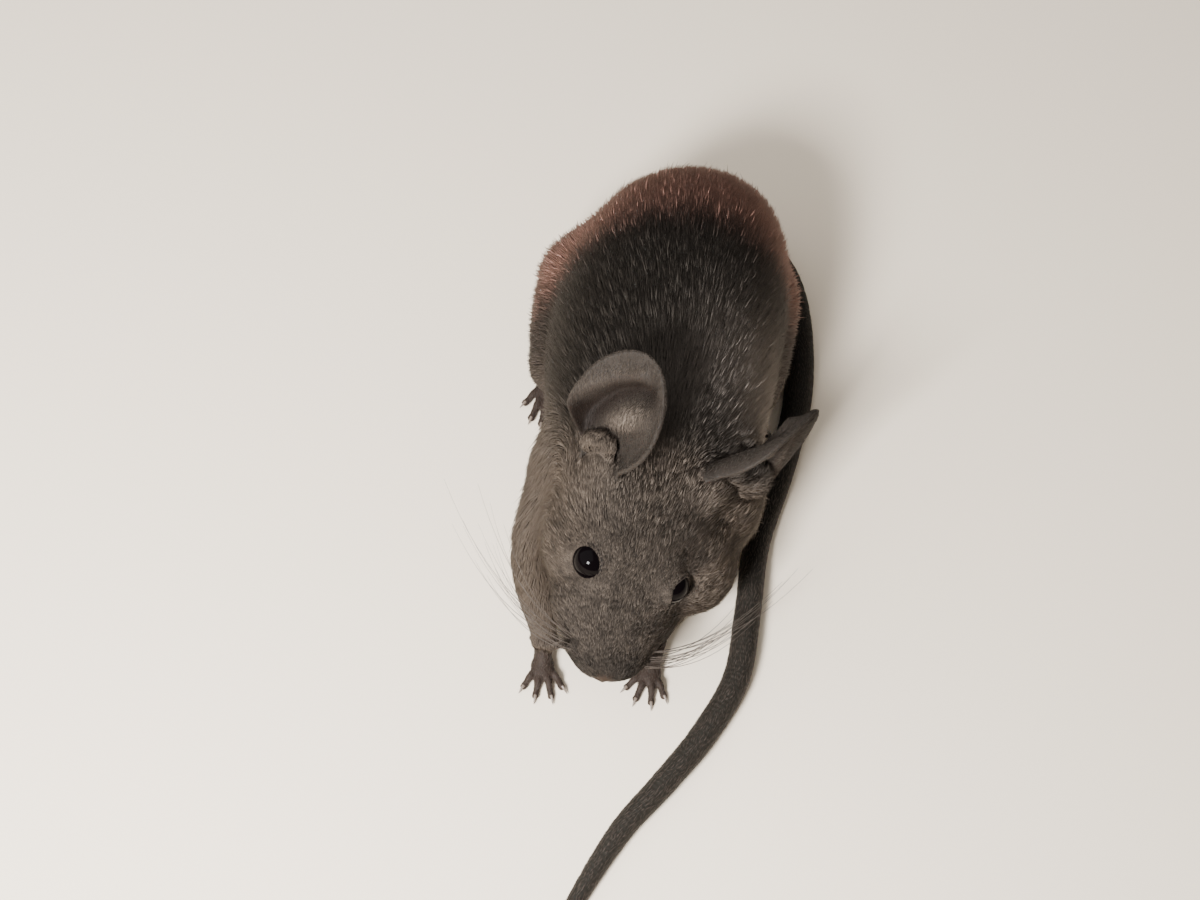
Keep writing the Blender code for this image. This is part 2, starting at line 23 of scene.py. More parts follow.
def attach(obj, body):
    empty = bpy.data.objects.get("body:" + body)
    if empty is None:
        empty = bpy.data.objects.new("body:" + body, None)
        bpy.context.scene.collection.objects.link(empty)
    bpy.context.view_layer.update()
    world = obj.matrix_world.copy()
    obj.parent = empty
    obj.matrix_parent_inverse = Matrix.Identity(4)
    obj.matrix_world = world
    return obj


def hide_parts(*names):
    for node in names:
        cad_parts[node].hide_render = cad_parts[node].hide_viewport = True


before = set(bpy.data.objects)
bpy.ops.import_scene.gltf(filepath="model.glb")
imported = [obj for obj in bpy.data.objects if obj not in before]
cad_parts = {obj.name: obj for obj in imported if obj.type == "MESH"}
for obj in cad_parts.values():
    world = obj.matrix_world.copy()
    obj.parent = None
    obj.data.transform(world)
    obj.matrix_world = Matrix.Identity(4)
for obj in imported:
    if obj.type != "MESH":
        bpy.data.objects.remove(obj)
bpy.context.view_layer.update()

MM = 0.001
BAKE_MAP = "OFBake"
TINT = "Tint"
TAIL_RUN = "TailRun"
TAIL_SKIN = "TailSkin"
SEED = 1758
log = logging.getLogger("house_mouse")


# ---------------------------------------------------------------- small tools


def linear(code: str) -> tuple[float, float, float]:
    """An sRGB hex colour as linear red, green and blue.

    Args:
        code: six hex digits.

    Returns:
        The three linear values.
    """
    made = []
    for k in (0, 2, 4):
        value = int(code[k : k + 2], 16) / 255
        made.append(value / 12.92 if value <= 0.04045 else ((value + 0.055) / 1.055) ** 2.4)
    return tuple(made)


def tone(code: str) -> np.ndarray:
    """An sRGB hex colour as a row of linear values."""
    return np.array(linear(code))


def select_only(obj: bpy.types.Object) -> None:
    """Makes the object the only selected one, and the active one."""
    bpy.ops.object.select_all(action="DESELECT")
    obj.select_set(True)
    bpy.context.view_layer.objects.active = obj


def applied(obj: bpy.types.Object, kind: str, **settings) -> None:
    """Adds a modifier with these settings and applies it.

    Args:
        obj: the object to shape.
        kind: the modifier's type, such as REMESH.
        settings: the modifier's own properties.
    """
    select_only(obj)
    bpy.ops.object.modifier_add(type=kind)
    modifier = obj.modifiers[-1]
    for name, value in settings.items():
        setattr(modifier, name, value)
    bpy.ops.object.modifier_apply(modifier=modifier.name)


def placed(name: str, data: bpy.types.ID) -> bpy.types.Object:
    """A new object that holds the data, in the scene."""
    made = bpy.data.objects.new(name, data)
    bpy.context.scene.collection.objects.link(made)
    return made


def edited(obj: bpy.types.Object, operator: Callable, **settings) -> None:
    """Runs an operator of edit mode on the whole of the object's mesh."""
    select_only(obj)
    bpy.ops.object.mode_set(mode="EDIT")
    bpy.ops.mesh.select_all(action="SELECT")
    operator(**settings)
    bpy.ops.object.mode_set(mode="OBJECT")


def joined(name: str, pieces: list[bpy.types.Object]) -> bpy.types.Object:
    """The pieces as one object of that name."""
    bpy.ops.object.select_all(action="DESELECT")
    for piece in pieces:
        piece.select_set(True)
    bpy.context.view_layer.objects.active = pieces[0]
    if len(pieces) > 1:
        bpy.ops.object.join()
    pieces[0].name = pieces[0].data.name = name
    return pieces[0]


def tube(places: list[Vector], radii: list[float], sides: int = 8) -> bpy.types.Object:
    """A round tube through the places, its ends filled.

    Args:
        places: the middle line's points.
        radii: the radius at each point.
        sides: how many sides the tube has, a multiple of four.

    Returns:
        The tube as a mesh object.
    """
    curve = bpy.data.curves.new("tube", "CURVE")
    curve.dimensions = "3D"
    curve.bevel_depth = 1.0
    curve.bevel_resolution = sides // 2 - 2
    curve.use_fill_caps = True
    line = curve.splines.new("POLY")
    line.points.add(len(places) - 1)
    for point, place, radius in zip(line.points, places, radii):
        point.co = (*place, 1.0)
        point.radius = radius
    select_only(placed("tube", curve))
    bpy.ops.object.convert(target="MESH")
    return bpy.context.view_layer.objects.active


def ball(middle: Vector, radii: Vector, turn: Matrix, segments: int = 24) -> bpy.types.Object:
    """An ellipsoid turned by a rotation about its own middle.

    Args:
        middle: where its middle is.
        radii: its radii before the turn.
        turn: the rotation as a 3x3 matrix.
        segments: facets round it.

    Returns:
        The ellipsoid, its place in its mesh.
    """
    bpy.ops.object.select_all(action="DESELECT")
    bpy.ops.mesh.primitive_uv_sphere_add(segments=segments, ring_count=segments // 2, radius=1.0)
    made = bpy.context.view_layer.objects.active
    made.data.transform(Matrix.Translation(middle) @ turn.to_4x4() @ Matrix.Diagonal((*radii, 1.0)))
    return made


def spline(values: list, t: float):
    """Catmull-Rom through the values, which are numbers or vectors, at t from 0 to their count less one."""
    last = len(values) - 1
    i = min(int(t), last - 1)
    u = t - i
    p1, p2 = values[i], values[i + 1]
    p0 = values[i - 1] if i else p1 + (p1 - p2)
    p3 = values[i + 2] if i + 2 <= last else p2 + (p2 - p1)
    return (
        p1
        + (p2 - p0) * (0.5 * u)
        + (p0 * 2 - p1 * 5 + p2 * 4 - p3) * (0.5 * u * u)
        + (p1 * 3 - p0 - p2 * 3 + p3) * (0.5 * u * u * u)
    )


def read(items: bpy.types.bpy_prop_collection, name: str, width: int, kind: type = np.float32) -> np.ndarray:
    """One property of every item of a mesh, in rows of that width."""
    made = np.empty(len(items) * width, kind)
    items.foreach_get(name, made)
    return made.reshape(-1, width)


def length_of(rows: np.ndarray) -> np.ndarray:
    """Each row's length, in millimetres."""
    return np.linalg.norm(rows, axis=1) / MM


def floored(points: np.ndarray, least: float = 0.0) -> np.ndarray:
    """The points, with those lower than that height in millimetres raised to it."""
    points[..., 2] = np.maximum(points[..., 2], least * MM)
    return points


def in_order(obj: bpy.types.Object) -> bpy.types.Object:
    """The object with its vertices and faces numbered by place, since each run may number them anew."""
    mesh = obj.data
    places = read(mesh.vertices, "co", 3)
    order = np.lexsort(places.T)
    number = np.argsort(order)
    faces = []
    for polygon in mesh.polygons:
        corners = number[list(polygon.vertices)].tolist()
        first = corners.index(min(corners))
        faces.append(corners[first:] + corners[:first])
    mesh.clear_geometry()
    mesh.from_pydata(places[order].tolist(), [], sorted(faces))
    mesh.update()
    return obj


def paint(mesh: bpy.types.Mesh, colours: np.ndarray) -> None:
    """Stores a linear colour at each vertex as the mesh's tint."""
    rows = np.ones((len(colours), 4), np.float32)
    rows[:, :3] = colours
    mesh.color_attributes.new(TINT, "FLOAT_COLOR", "POINT").data.foreach_set("color", rows.ravel())


def nearest_of(at: np.ndarray, leads: np.ndarray) -> np.ndarray:
    """Which of the leading places, by its number among them, is nearest to each place."""
    tree = KDTree(len(leads))
    for k, i in enumerate(leads.tolist()):
        tree.insert(at[i], k)
    tree.balance()
    return np.array([tree.find(q)[1] for q in at.tolist()])


def unit(rows: np.ndarray) -> np.ndarray:
    """The rows as unit vectors."""
    return rows / np.maximum(np.linalg.norm(rows, axis=1, keepdims=True), 1e-12)


def eased(values: np.ndarray, low: float, high: float) -> np.ndarray:
    """0 below low, 1 above high and a smooth step between."""
    t = np.clip((values - low) / (high - low), 0.0, 1.0)
    return t * t * (3 - 2 * t)


def mixed(a, b, share: np.ndarray) -> np.ndarray:
    """a where share is 0 and b where it is 1."""
    return np.asarray(a) * (1 - share) + np.asarray(b) * share


def min_of(pairs: list[tuple[np.ndarray, np.ndarray]]) -> tuple[np.ndarray, np.ndarray]:
    """Each row's pair of values from the pair whose first value is least there."""
    first, second = (np.stack(values) for values in zip(*pairs))
    best = first.argmin(axis=0)[None]
    return np.take_along_axis(first, best, 0)[0], np.take_along_axis(second, best, 0)[0]


# ---------------------------------------------------------------- anatomy


class Side(Enum):
    """A side of the mouse, with the sign of its direction towards the left."""

    LEFT = 1
    RIGHT = -1

    @property
    def word(self) -> str:
        """The side's name in lower case."""
        return self.name.lower()


class Region(Enum):
    """The parts of the skin that differ in their coat."""

    TRUNK = "trunk"
    NECK = "neck"
    HEAD = "head"
    NOSE = "nose"
    FORELEG = "foreleg"
    HINDLEG = "hindleg"
    FOREFOOT = "forefoot"
    HINDFOOT = "hindfoot"
    EAR = "ear"
    TAIL = "tail"

    @property
    def number(self) -> int:
        """The region's place among them all."""
        return list(Region).index(self)


@dataclass(frozen=True)
class HeadFrame:
    """The head's own frame, with its origin midway between the eyes."""

    at: Vector = Vector((0.06, -8.3, 14.0)) * MM
    pitch: float = math.radians(-20.0)
    yaw: float = math.radians(-4.0)
    roll: float = math.radians(-18.0)

    def axes(self) -> tuple[Vector, Vector, Vector]:
        """Ahead, left and up as unit vectors."""
        turned = (
            Matrix.Rotation(self.yaw, 3, "Z")
            @ Matrix.Rotation(-self.pitch, 3, "X")
            @ Matrix.Rotation(-self.roll, 3, "Y")
        )
        return turned @ Vector((0, -1, 0)), turned @ Vector((1, 0, 0)), turned @ Vector((0, 0, 1))

    def place(self, ahead: float, aside: float, up: float) -> Vector:
        """The point at these millimetres ahead, to the left and up."""
        forward, left, upward = self.axes()
        return self.at + (ahead * forward + aside * left + up * upward) * MM

    def direction(self, parts: tuple[float, float, float], side: Side) -> Vector:
        """A direction given as ahead, aside and up, on that side."""
        forward, left, upward = self.axes()
        return (parts[0] * forward + side.value * parts[1] * left + parts[2] * upward).normalized()

    def parts(self, points: np.ndarray) -> np.ndarray:
        """Millimetres ahead, left and up of each point."""
        return (points - np.array(self.at)) @ np.array([list(a) for a in self.axes()]).T / MM


HEAD = HeadFrame()
FAR = 9.0  # millimetres, further than anything at an eye reaches
INNER_CORNER = -0.25  # the turn round an eye, in radians from the way to the nose, to its pointed corner


@dataclass(frozen=True)
class EyePlace:
    """One eye: where its ball is and which way it looks."""

    side: Side
    ahead: float
    aside: float
    looks: tuple[float, float, float]
    opening: float  # half the angle that its lids leave open, in degrees
    up: float = -0.35
    radius: float = 2.05 * MM

    @property
    def middle(self) -> Vector:
        """The middle of the ball."""
        return HEAD.place(self.ahead, self.side.value * self.aside, self.up)

    @property
    def aim(self) -> Vector:
        """The way the eye looks."""
        return HEAD.direction(self.looks, self.side)

    def round_axes(self) -> tuple[Vector, Vector]:
        """The ways towards the nose and up, square to the way it looks."""
        forward = HEAD.axes()[0]
        nose_ward = (forward - self.aim * forward.dot(self.aim)).normalized()
        return nose_ward, self.aim.cross(nose_ward) * -self.side.value

    def lid_edge(self, turn: np.ndarray) -> np.ndarray:
        """The angle from the way it looks to the lids' edge: an almond drawn out towards the nose.

        Args:
            turn: the way round the eye, 0 towards the nose.

        Returns:
            The angle in radians.
        """
        inner = 0.30 * np.maximum(0.0, np.cos(turn - INNER_CORNER)) ** 10
        outer = 0.10 * np.maximum(0.0, -np.cos(turn)) ** 8
        return math.radians(self.opening) * (1 + (inner + outer) - 0.05 * np.cos(2 * turn))

    def edge_points(self, turn: np.ndarray) -> np.ndarray:
        """Points along the lids' edge, at turns round the eye."""
        nose_ward, upward = (np.array(axis) for axis in self.round_axes())
        start = self.lid_edge(turn)[:, None]
        flat = np.cos(turn)[:, None] * nose_ward + np.sin(turn)[:, None] * upward
        ways = np.cos(start) * np.array(self.aim) + np.sin(start) * flat
        return np.array(self.middle) + ways * self.radius

    def past_edge(self, points: np.ndarray) -> tuple[np.ndarray, np.ndarray]:
        """Each point's distances in millimetres from the ball's middle and from the lids' edge."""
        reach = length_of(points - np.array(self.middle))
        gap = np.full(len(points), FAR)
        near = np.nonzero(reach < 4.5)[0]
        line = self.edge_points(np.linspace(0, 2 * math.pi, 120, endpoint=False))
        gap[near] = np.linalg.norm(points[near, None] - line[None], axis=2).min(axis=1) / MM
        return reach, gap


@dataclass(frozen=True)
class EarPlace:
    """One ear: its root, the way it points and the way its hollow faces, ahead, aside, up of the head."""

    side: Side
    root: tuple[float, float, float]
    points: tuple[float, float, float]
    faces: tuple[float, float, float]
    length: float = 12.0
    half_width: float = 5.2
    sunk: float = 2.0

    def axes(self) -> tuple[Vector, Vector, Vector]:
        """Across, along and out of the hollow, as unit vectors."""
        along = HEAD.direction(self.points, self.side)
        out = HEAD.direction(self.faces, self.side)
        out = (out - along * out.dot(along)).normalized()
        return along.cross(out) * self.side.value, along, out

    def base(self) -> Vector:
        """The middle of the pinna's lower edge, inside the head."""
        x, y, z = self.root
        return HEAD.place(x, self.side.value * y, z) - self.axes()[1] * self.sunk * MM

    def surface(self, across: float, along: float) -> Vector:
        """A point of the pinna's middle surface, with its rolled rim and the folds of the hollow.

        Args:
            across: from -1 at its front edge to 1 at its hind edge.
            along: from a little below 0 at the root to 1 at the tip.

        Returns:
            The point.
        """
        round_tip = math.sqrt(max(0.0, 1 - max(0.0, (along - 0.45) / 0.55) ** 2.3))
        rise = math.sin(min(max(along, 0.0) / 0.5, 1.0) * math.pi / 2)
        half = self.half_width * round_tip * (0.46 + 0.54 * rise)
        curl = 1.35 - 0.75 * max(along, 0.0)
        bow = across * curl
        sideways = half * math.sin(bow) / math.sin(curl)
        forward = half * (1 - math.cos(bow)) * 0.95 - 1.5 * along * along + self._fold(across, along)
        a, b, c = self.axes()
        return self.base() + (a * sideways + b * along * self.length + c * forward) * MM

    @staticmethod
    def _fold(across: float, along: float) -> float:
        """How far the pinna stands out of a plain cup there, in millimetres."""
        edge = max(abs(across), (along - 0.86) / 0.14 if along > 0.86 else 0.0)
        rim = 0.14 * max(0.0, (edge - 0.8) / 0.2) ** 2
        spot = np.array([[across, along]])
        groove = -0.62 * float(near_line(spot, EAR_GROOVE, 0.85)[0])
        ridge = 0.40 * float(near_line(spot, EAR_RIDGE, 0.8)[0])
        mound = 1.35 * float(ear_mound(spot)[0])
        ribs = 0.08 * math.cos(across * 8.0) * math.exp(-(((along - 0.78) / 0.14) ** 2))
        return rim + groove + ridge + mound + ribs


def to_line(points: np.ndarray, line: list[np.ndarray]) -> np.ndarray:
    """Each point's distance from a line through some points."""
    best = np.full(len(points), np.inf)
    for a, b in zip(line, line[1:]):
        t = np.clip((points - a) @ (b - a) / ((b - a) @ (b - a)), 0, 1)
        best = np.minimum(best, np.linalg.norm(points - a - t[:, None] * (b - a), axis=1))
    return best


def near_line(spots: np.ndarray, line: list[tuple[float, float]], wide: float) -> np.ndarray:
    """How near each spot of a pinna is to a line on it, 1 on it and 0 well off it.

    Args:
        spots: across and along of each, in shares of the pinna.
        line: the line's points, in the same shares.
        wide: the distance in millimetres over which it fades.

    Returns:
        The nearness of each.
    """
    scale = np.array([5.0, 12.0])
    best = to_line(spots * scale, [np.array(spot) * scale for spot in line])
    return np.exp(-((best / wide) ** 2))


def ear_mound(spots: np.ndarray) -> np.ndarray:
    """The swelling of the antitragus in the hollow of a pinna, 1 at its top."""
    away = (spots - np.array([-0.18, 0.45])) * np.array([5.0, 12.0])
    long_way, short_way = np.array([-0.65, 0.76]), np.array([0.76, 0.65])
    return np.exp(-((away @ long_way / 2.7) ** 2) - (away @ short_way / 1.25) ** 2)


# Lines on a pinna, across and along: the groove round the hollow and the ridge above it.
EAR_GROOVE = [(1.0, 0.08), (0.8, 0.24), (0.55, 0.39), (0.28, 0.60), (-0.05, 0.72), (-0.38, 0.73)]
EAR_RIDGE = [(1.0, 0.36), (0.93, 0.44), (0.78, 0.54), (0.43, 0.68), (0.0, 0.82)]
EYES = (
    EyePlace(Side.RIGHT, -0.3, 4.5, (0.45, 0.90, 0.40), 66.0),
    EyePlace(Side.LEFT, 0.25, 4.05, (0.42, 0.70, 0.66), 45.0, -0.15),  # half closed
)
EARS = (
    EarPlace(Side.RIGHT, (-12.0, 5.8, 3.7), (-0.60, 0.18, 0.76), (0.66, 0.72, 0.26)),
    EarPlace(Side.LEFT, (-13.0, 6.8, 3.9), (-0.50, 0.76, 0.38), (0.66, 0.60, 0.30)),
)
# The tail's middle line from its root, as the solids have it, and its radii in millimetres.
TAIL_LINE = [
    Vector(p) * MM
    for p in (
        (6.06, 39.6, 7.6), (8.26, 44.7, 4.2), (12.66, 45.5, 2.1), (16.86, 41.3, 1.9),
        (18.86, 34.1, 1.75), (19.06, 24.1, 1.65), (17.26, 14.1, 1.55), (14.86, 4.5, 1.4),
        (14.06, -4.3, 1.4), (13.06, -12.3, 1.4), (9.76, -19.4, 1.4), (5.76, -25.4, 1.33),
        (1.86, -30.8, 1.2), (-1.64, -37.5, 0.96), (-3.94, -42.9, 0.8), (-5.34, -46.9, 0.56),
    )
]
TAIL_RADII = [2.3, 2.2, 2.1, 1.95, 1.8, 1.7, 1.6, 1.5, 1.5, 1.5, 1.48, 1.4, 1.26, 1.0, 0.84, 0.6]
# The pad on each side that the whiskers grow from, in the head's frame: its middle and radii.
WHISKER_PAD = ((7.9, 4.2, -3.5), (2.3, 1.4, 1.7))
# The whiskers at the pad's corners, as the solids have them: root, way out and way of the sweep, and
# the share of the longest. The upper and the lower one behind come first.
WHISKERS = (
    ((7.2, 3.7, -2.9), (-0.10, 1.0, 0.32), (-1.0, 0.25, 0.12), (0.95,)),
    ((7.2, 3.8, -4.0), (-0.12, 1.0, 0.04), (-1.0, 0.25, -0.08), (1.0,)),
    ((8.6, 3.3, -3.1), (0.10, 1.0, 0.18), (-1.0, 0.25, 0.0), (0.72,)),
    ((8.6, 3.3, -4.1), (0.10, 1.0, -0.1), (-1.0, 0.25, -0.2), (0.62,)),
)
# Forms pressed into the head: pits at the nostrils, and grooves for the mouth, the cleft lip and the tear
# ducts. Each has its places ahead, aside and up, its width and its depth. Nostrils and mouth are mirrored.
NOSTRILS = (((11.0, 0.5, -3.5), 0.26, 0.5), ((10.8, 0.75, -3.6), 0.22, 0.4))
MOUTH = ((9.2, 0.0, -5.4), (8.0, 1.1, -5.9), (6.3, 2.1, -6.2), (4.9, 2.8, -6.0)), 0.22, 0.38
CLEFT = ((11.2, 0.0, -3.9), (9.5, 0.0, -5.3)), 0.18, 0.25
TEAR_DUCT = (1.3, -0.35), 0.17, 0.22  # how far it runs towards the nose and up
# How the coat grows on each region: its depth, a hair's length and width, and how many times over the hairs
# cover the skin. A pair holds for the lower end, or the nose, and for the upper or hind end.
GROWTH = {
    Region.TRUNK: ((1.2, 2.0), 3.9, 0.10, 6.5),
    Region.NECK: (1.6, 3.3, 0.10, 6.5),
    Region.HEAD: ((0.30, 1.25), (1.05, 2.4), (0.07, 0.095), 5.0),
    Region.NOSE: (0.05, 0.4, 0.05, 0.0),
    Region.FORELEG: ((0.3, 1.5), (1.2, 3.2), (0.09, 0.11), 4.2),
    Region.HINDLEG: ((0.35, 1.9), (1.3, 4.0), (0.09, 0.12), 4.4),
    Region.FOREFOOT: (0.06, 0.55, 0.05, 0.4),
    Region.HINDFOOT: (0.08, 0.65, 0.05, 0.4),
    Region.EAR: (0.12, 0.7, 0.04, 0.35),
    Region.TAIL: (0.08, 0.9, 0.045, 0.25),
}
AT_EAR_ROOT = (0.55, 1.6, 0.065, 6.0)  # the same four round an ear's root
AT_EYE = (0.10, 0.55, 0.05)  # depth, length and width at the rim of an eye
COAT_PARTS = {  # the regions that each piece of the coat covers
    "back": (Region.TRUNK,),
    "neck": (Region.NECK,),
    "head": (Region.HEAD, Region.NOSE),
    "forelegs": (Region.FORELEG, Region.FOREFOOT),
    "hindlegs": (Region.HINDLEG, Region.HINDFOOT),
    "ears": (Region.EAR,),
    "tail": (Region.TAIL,),
}


# ---------------------------------------------------------------- finishes


@dataclass(frozen=True)
class Pelage:
    """Agouti coat of the house mouse: the colours of its hairs, dark at the root, paler near the tip, and a
    painted light on the nape.
    """

    root: str = "1b1817"
    back: str = "35302b"
    nape_light: str = "8c827a"
    # a pool of painted light on the nape and shoulders, paler than the coat around it
    crown: str = "4a423b"
    flank: str = "433a34"
    cheek: str = "5d5248"
    belly: str = "6a5f56"
    rump: str = "9a7265"
    pale_tip: str = "8e7f70"
    dark_tip: str = "1f1b19"
    roughness: float = 0.62
    shine: float = 0.18

    def material(self) -> bpy.types.Material:
        """Keratin hair: a soft satin sheen along dull strands."""
        made = new_material("agouti_hair_keratin")
        tint = add_node(made, "ShaderNodeAttribute", attribute_name=TINT)
        return dressed(made, tint.outputs["Color"], self.roughness, self.shine)


@dataclass(frozen=True)
class MarkingsAndShading:
    """Where the coat changes colour, and where light and shade are painted on it, in millimetres: in the
    frame for the body, in its own for the head.
    """

    flank: tuple[float, float] = (8.0, 20.0)  # heights between which it gives way to the back's colour
    # the painted light on the nape: its middle and its radii
    nape_light_at: tuple[float, float] = (9.5, 11.0)
    nape_light_size: tuple[float, float] = (5.5, 7.5)
    brink: tuple[float, float, float] = (29.3, 0.03, 3.0)  # the rump's start, the bow of its edge, its middle
    rump: tuple[float, float] = (5.0, 16.0)  # heights at which its tint begins and is full
    # the dark line before the rump is painted shade, where the back meets the rump
    fold_shade: tuple[float, float] = (1.2, 1.1)  # the dark line before the rump: its place and its width
    cheek: tuple[float, float] = (4.5, 8.5)  # aside of the head's middle
    crown: tuple[float, float] = (-9.0, -4.0)  # the pale crown's fore edge, ahead of the eyes
    crown_back: tuple[float, float] = (-14.0, -10.5)
    crown_side: tuple[float, float] = (4.0, 7.5)
    muzzle: tuple[float, float] = (7.0, 10.5)  # ahead of the eyes, where it darkens


@dataclass(frozen=True)
class Hide:
    """Living skin: bare and thinly haired on ears, feet, nose and tail, dark under the coat."""

    under_coat: str = "2a2522"
    pinna: str = "2c2723"
    # paler skin and hairs of an ear's swelling and ridge; on the ridge partly a painted highlight
    pinna_pale: str = "423a34"
    ear_down: str = "6b6056"
    # painted shade in an ear's groove and notch
    hollow: str = "18110d"
    foot: str = "2d241f"
    tail: str = "23201c"
    nose: str = "2b2019"
    lid: str = "130e0c"
    roughness: float = 0.62
    shine: float = 0.12
    pore_size: float = 0.35 * MM
    pore_shades: tuple[float, float] = (0.9, 1.08)
    relief: float = 0.04 * MM
    ring_spacing: float = 0.55  # of the tail's scales, in millimetres

    def material(self) -> bpy.types.Material:
        """Dermis: fine pores and creases, and rings of scales along the tail."""
        made = new_material("mouse_skin_dermis")
        place = add_node(made, "ShaderNodeTexCoord")
        pores = add_node(made, "ShaderNodeTexNoise", {
            "Vector": place.outputs["Object"], "Scale": 1 / self.pore_size, "Detail": 3.0,
        })
        dark, pale = self.pore_shades
        shade = add_node(made, "ShaderNodeMapRange", {
            "Value": pores.outputs["Fac"], "From Min": 0.3, "From Max": 0.7, "To Min": dark, "To Max": pale,
        })
        tint, run, bare = (add_node(made, "ShaderNodeAttribute", attribute_name=name)
                           for name in (TINT, TAIL_RUN, TAIL_SKIN))
        colour = add_node(made, "ShaderNodeVectorMath", {
            0: tint.outputs["Color"], "Scale": shade.outputs["Result"],
        }, operation="SCALE")
        turns = add_node(made, "ShaderNodeMath", {
            0: run.outputs["Fac"], 1: self.ring_spacing,
        }, operation="DIVIDE")
        saw = add_node(made, "ShaderNodeMath", {0: turns.outputs["Value"], 1: 0.5}, operation="PINGPONG")
        rings = add_node(made, "ShaderNodeMath", {
            0: saw.outputs["Value"], 1: bare.outputs["Fac"],
        }, operation="MULTIPLY")
        height = add_node(made, "ShaderNodeMath", {
            0: rings.outputs["Value"], 1: 2.0, 2: pores.outputs["Fac"],
        }, operation="MULTIPLY_ADD")
        bump = add_node(made, "ShaderNodeBump", {
            "Height": height.outputs["Value"], "Strength": 0.4, "Distance": self.relief,
        })
        return dressed(made, colour.outputs["Vector"], self.roughness, self.shine, {
            "Subsurface Weight": 0.12,
            "Subsurface Radius": (0.9, 0.45, 0.3),
            "Subsurface Scale": 0.4 * MM,
            "Normal": bump.outputs["Normal"],
        })


@dataclass(frozen=True)
class Cornea:
    """The wet black eye of a mouse: a clear cornea over a pupil and iris that are both black."""

    colour: str = "050304"
    roughness: float = 0.04
    shine: float = 0.08

    def material(self) -> bpy.types.Material:
        """Wet cornea, mirror-bright in its highlight."""
        colour = (*linear(self.colour), 1.0)
        return dressed(new_material("wet_black_cornea"), colour, self.roughness, self.shine, {"IOR": 1.38})


@dataclass(frozen=True)
class Horn:
    """Claw horn or whisker: smooth keratin that grew in faint streaks."""

    name: str
    colour: str
    roughness: float = 0.35
    streak_size: float = 0.4 * MM

    def material(self) -> bpy.types.Material:
        """Smooth keratin with a clear shine."""
        made = new_material(self.name)
        place = add_node(made, "ShaderNodeTexCoord")
        streaks = add_node(made, "ShaderNodeTexNoise", {
            "Vector": place.outputs["Object"], "Scale": 1 / self.streak_size, "Detail": 2.0,
        })
        low = [c * 0.75 for c in linear(self.colour)]
        shade = add_node(made, "ShaderNodeMix", {
            "Factor": streaks.outputs["Fac"], 6: (*low, 1.0), 7: (*linear(self.colour), 1.0),
        }, data_type="RGBA")
        return dressed(made, shade.outputs[2], self.roughness)


def new_material(name: str) -> bpy.types.Material:
    """A material of that name with its Principled shader."""
    made = bpy.data.materials.new(name)
    made.use_nodes = True
    return made


def set_sockets(made: bpy.types.Material, node: bpy.types.Node, inputs: dict) -> None:
    """Sets sockets of a node.

    Args:
        made: the node's material.
        node: the node.
        inputs: for each socket, by name or number, its value or the socket that is linked to it.
    """
    for name, value in inputs.items():
        if isinstance(value, bpy.types.NodeSocket):
            made.node_tree.links.new(value, node.inputs[name])
        else:
            node.inputs[name].default_value = value


def add_node(made: bpy.types.Material, kind: str, inputs: dict | None = None, **settings) -> bpy.types.Node:
    """Adds a node to a material.

    Args:
        made: the material.
        kind: the node's type.
        inputs: what its sockets hold, as set_sockets takes them.
        settings: properties of the node.

    Returns:
        The node.
    """
    node = made.node_tree.nodes.new(kind)
    for name, value in settings.items():
        setattr(node, name, value)
    set_sockets(made, node, inputs or {})
    return node


def dressed(made: bpy.types.Material, colour, roughness: float, shine: float = 0.5,
            others: dict | None = None) -> bpy.types.Material:
    """Sets the shader of a material.

    Args:
        made: the material.
        colour: its base colour, or the socket that gives it.
        roughness: its roughness.
        shine: the level of its mirror reflection, 0.5 for a common one.
        others: what further sockets hold.

    Returns:
        The material.
    """
    sockets = {"Base Color": colour, "Roughness": roughness, "Specular IOR Level": shine}
    set_sockets(made, made.node_tree.nodes["Principled BSDF"], sockets | (others or {}))
    return made


# ---------------------------------------------------------------- skin


@dataclass
class Surface:
    """The skin's mesh as arrays, with what the coat needs to know at each vertex."""

    obj: bpy.types.Object
    region: np.ndarray
    side: np.ndarray
    fields: dict[str, np.ndarray] = field(default_factory=dict)

    def points(self) -> np.ndarray:
        """The vertices' places."""
        return read(self.obj.data.vertices, "co", 3).astype(float)

    def normals(self) -> np.ndarray:
        """The vertices' outward directions."""
        return read(self.obj.data.vertex_normals, "vector", 3).astype(float)

    def edges(self) -> np.ndarray:
        """The edges as pairs of vertex indices."""
        return read(self.obj.data.edges, "vertices", 2, np.int32)

    def triangles(self) -> np.ndarray:
        """The faces, all triangles, as vertex indices."""
        return read(self.obj.data.polygons, "vertices", 3, np.int32)

    def is_in(self, *regions: Region) -> np.ndarray:
        """Which vertices belong to any of the regions."""
        return np.isin(self.region, [region.number for region in regions])

    def move(self, points: np.ndarray) -> None:
        """Sets the vertices' places."""
        self.obj.data.vertices.foreach_set("co", points.astype(np.float32).ravel())
        self.obj.data.update()


def relaxed(values: np.ndarray, edges: np.ndarray, passes: int, share: float = 0.6) -> np.ndarray:
    """Averages values along the edges of a mesh.

    Args:
        values: one row for each vertex.
        edges: pairs of vertex indices.
        passes: how often to average.
        share: how far each pass goes towards the neighbours' average.

    Returns:
        The averaged values, in the same shape.
    """
    rows = values.reshape(len(values), -1).astype(float)
    a, b = edges[:, 0], edges[:, 1]
    count = len(rows)
    degree = np.maximum(np.bincount(a, minlength=count) + np.bincount(b, minlength=count), 1)
    for _ in range(passes):
        for k in range(rows.shape[1]):
            column = rows[:, k]
            near = np.bincount(a, column[b], count) + np.bincount(b, column[a], count)
            rows[:, k] = column * (1 - share) + near / degree * share
    return rows.reshape(values.shape)


def patch_of(obj: bpy.types.Object, region: Region, side: int = 0) -> tuple:
    """An object that becomes part of the skin, with the region and side of each of its faces."""
    count = len(obj.data.polygons)
    return obj, np.full(count, region.number), np.full(count, side)


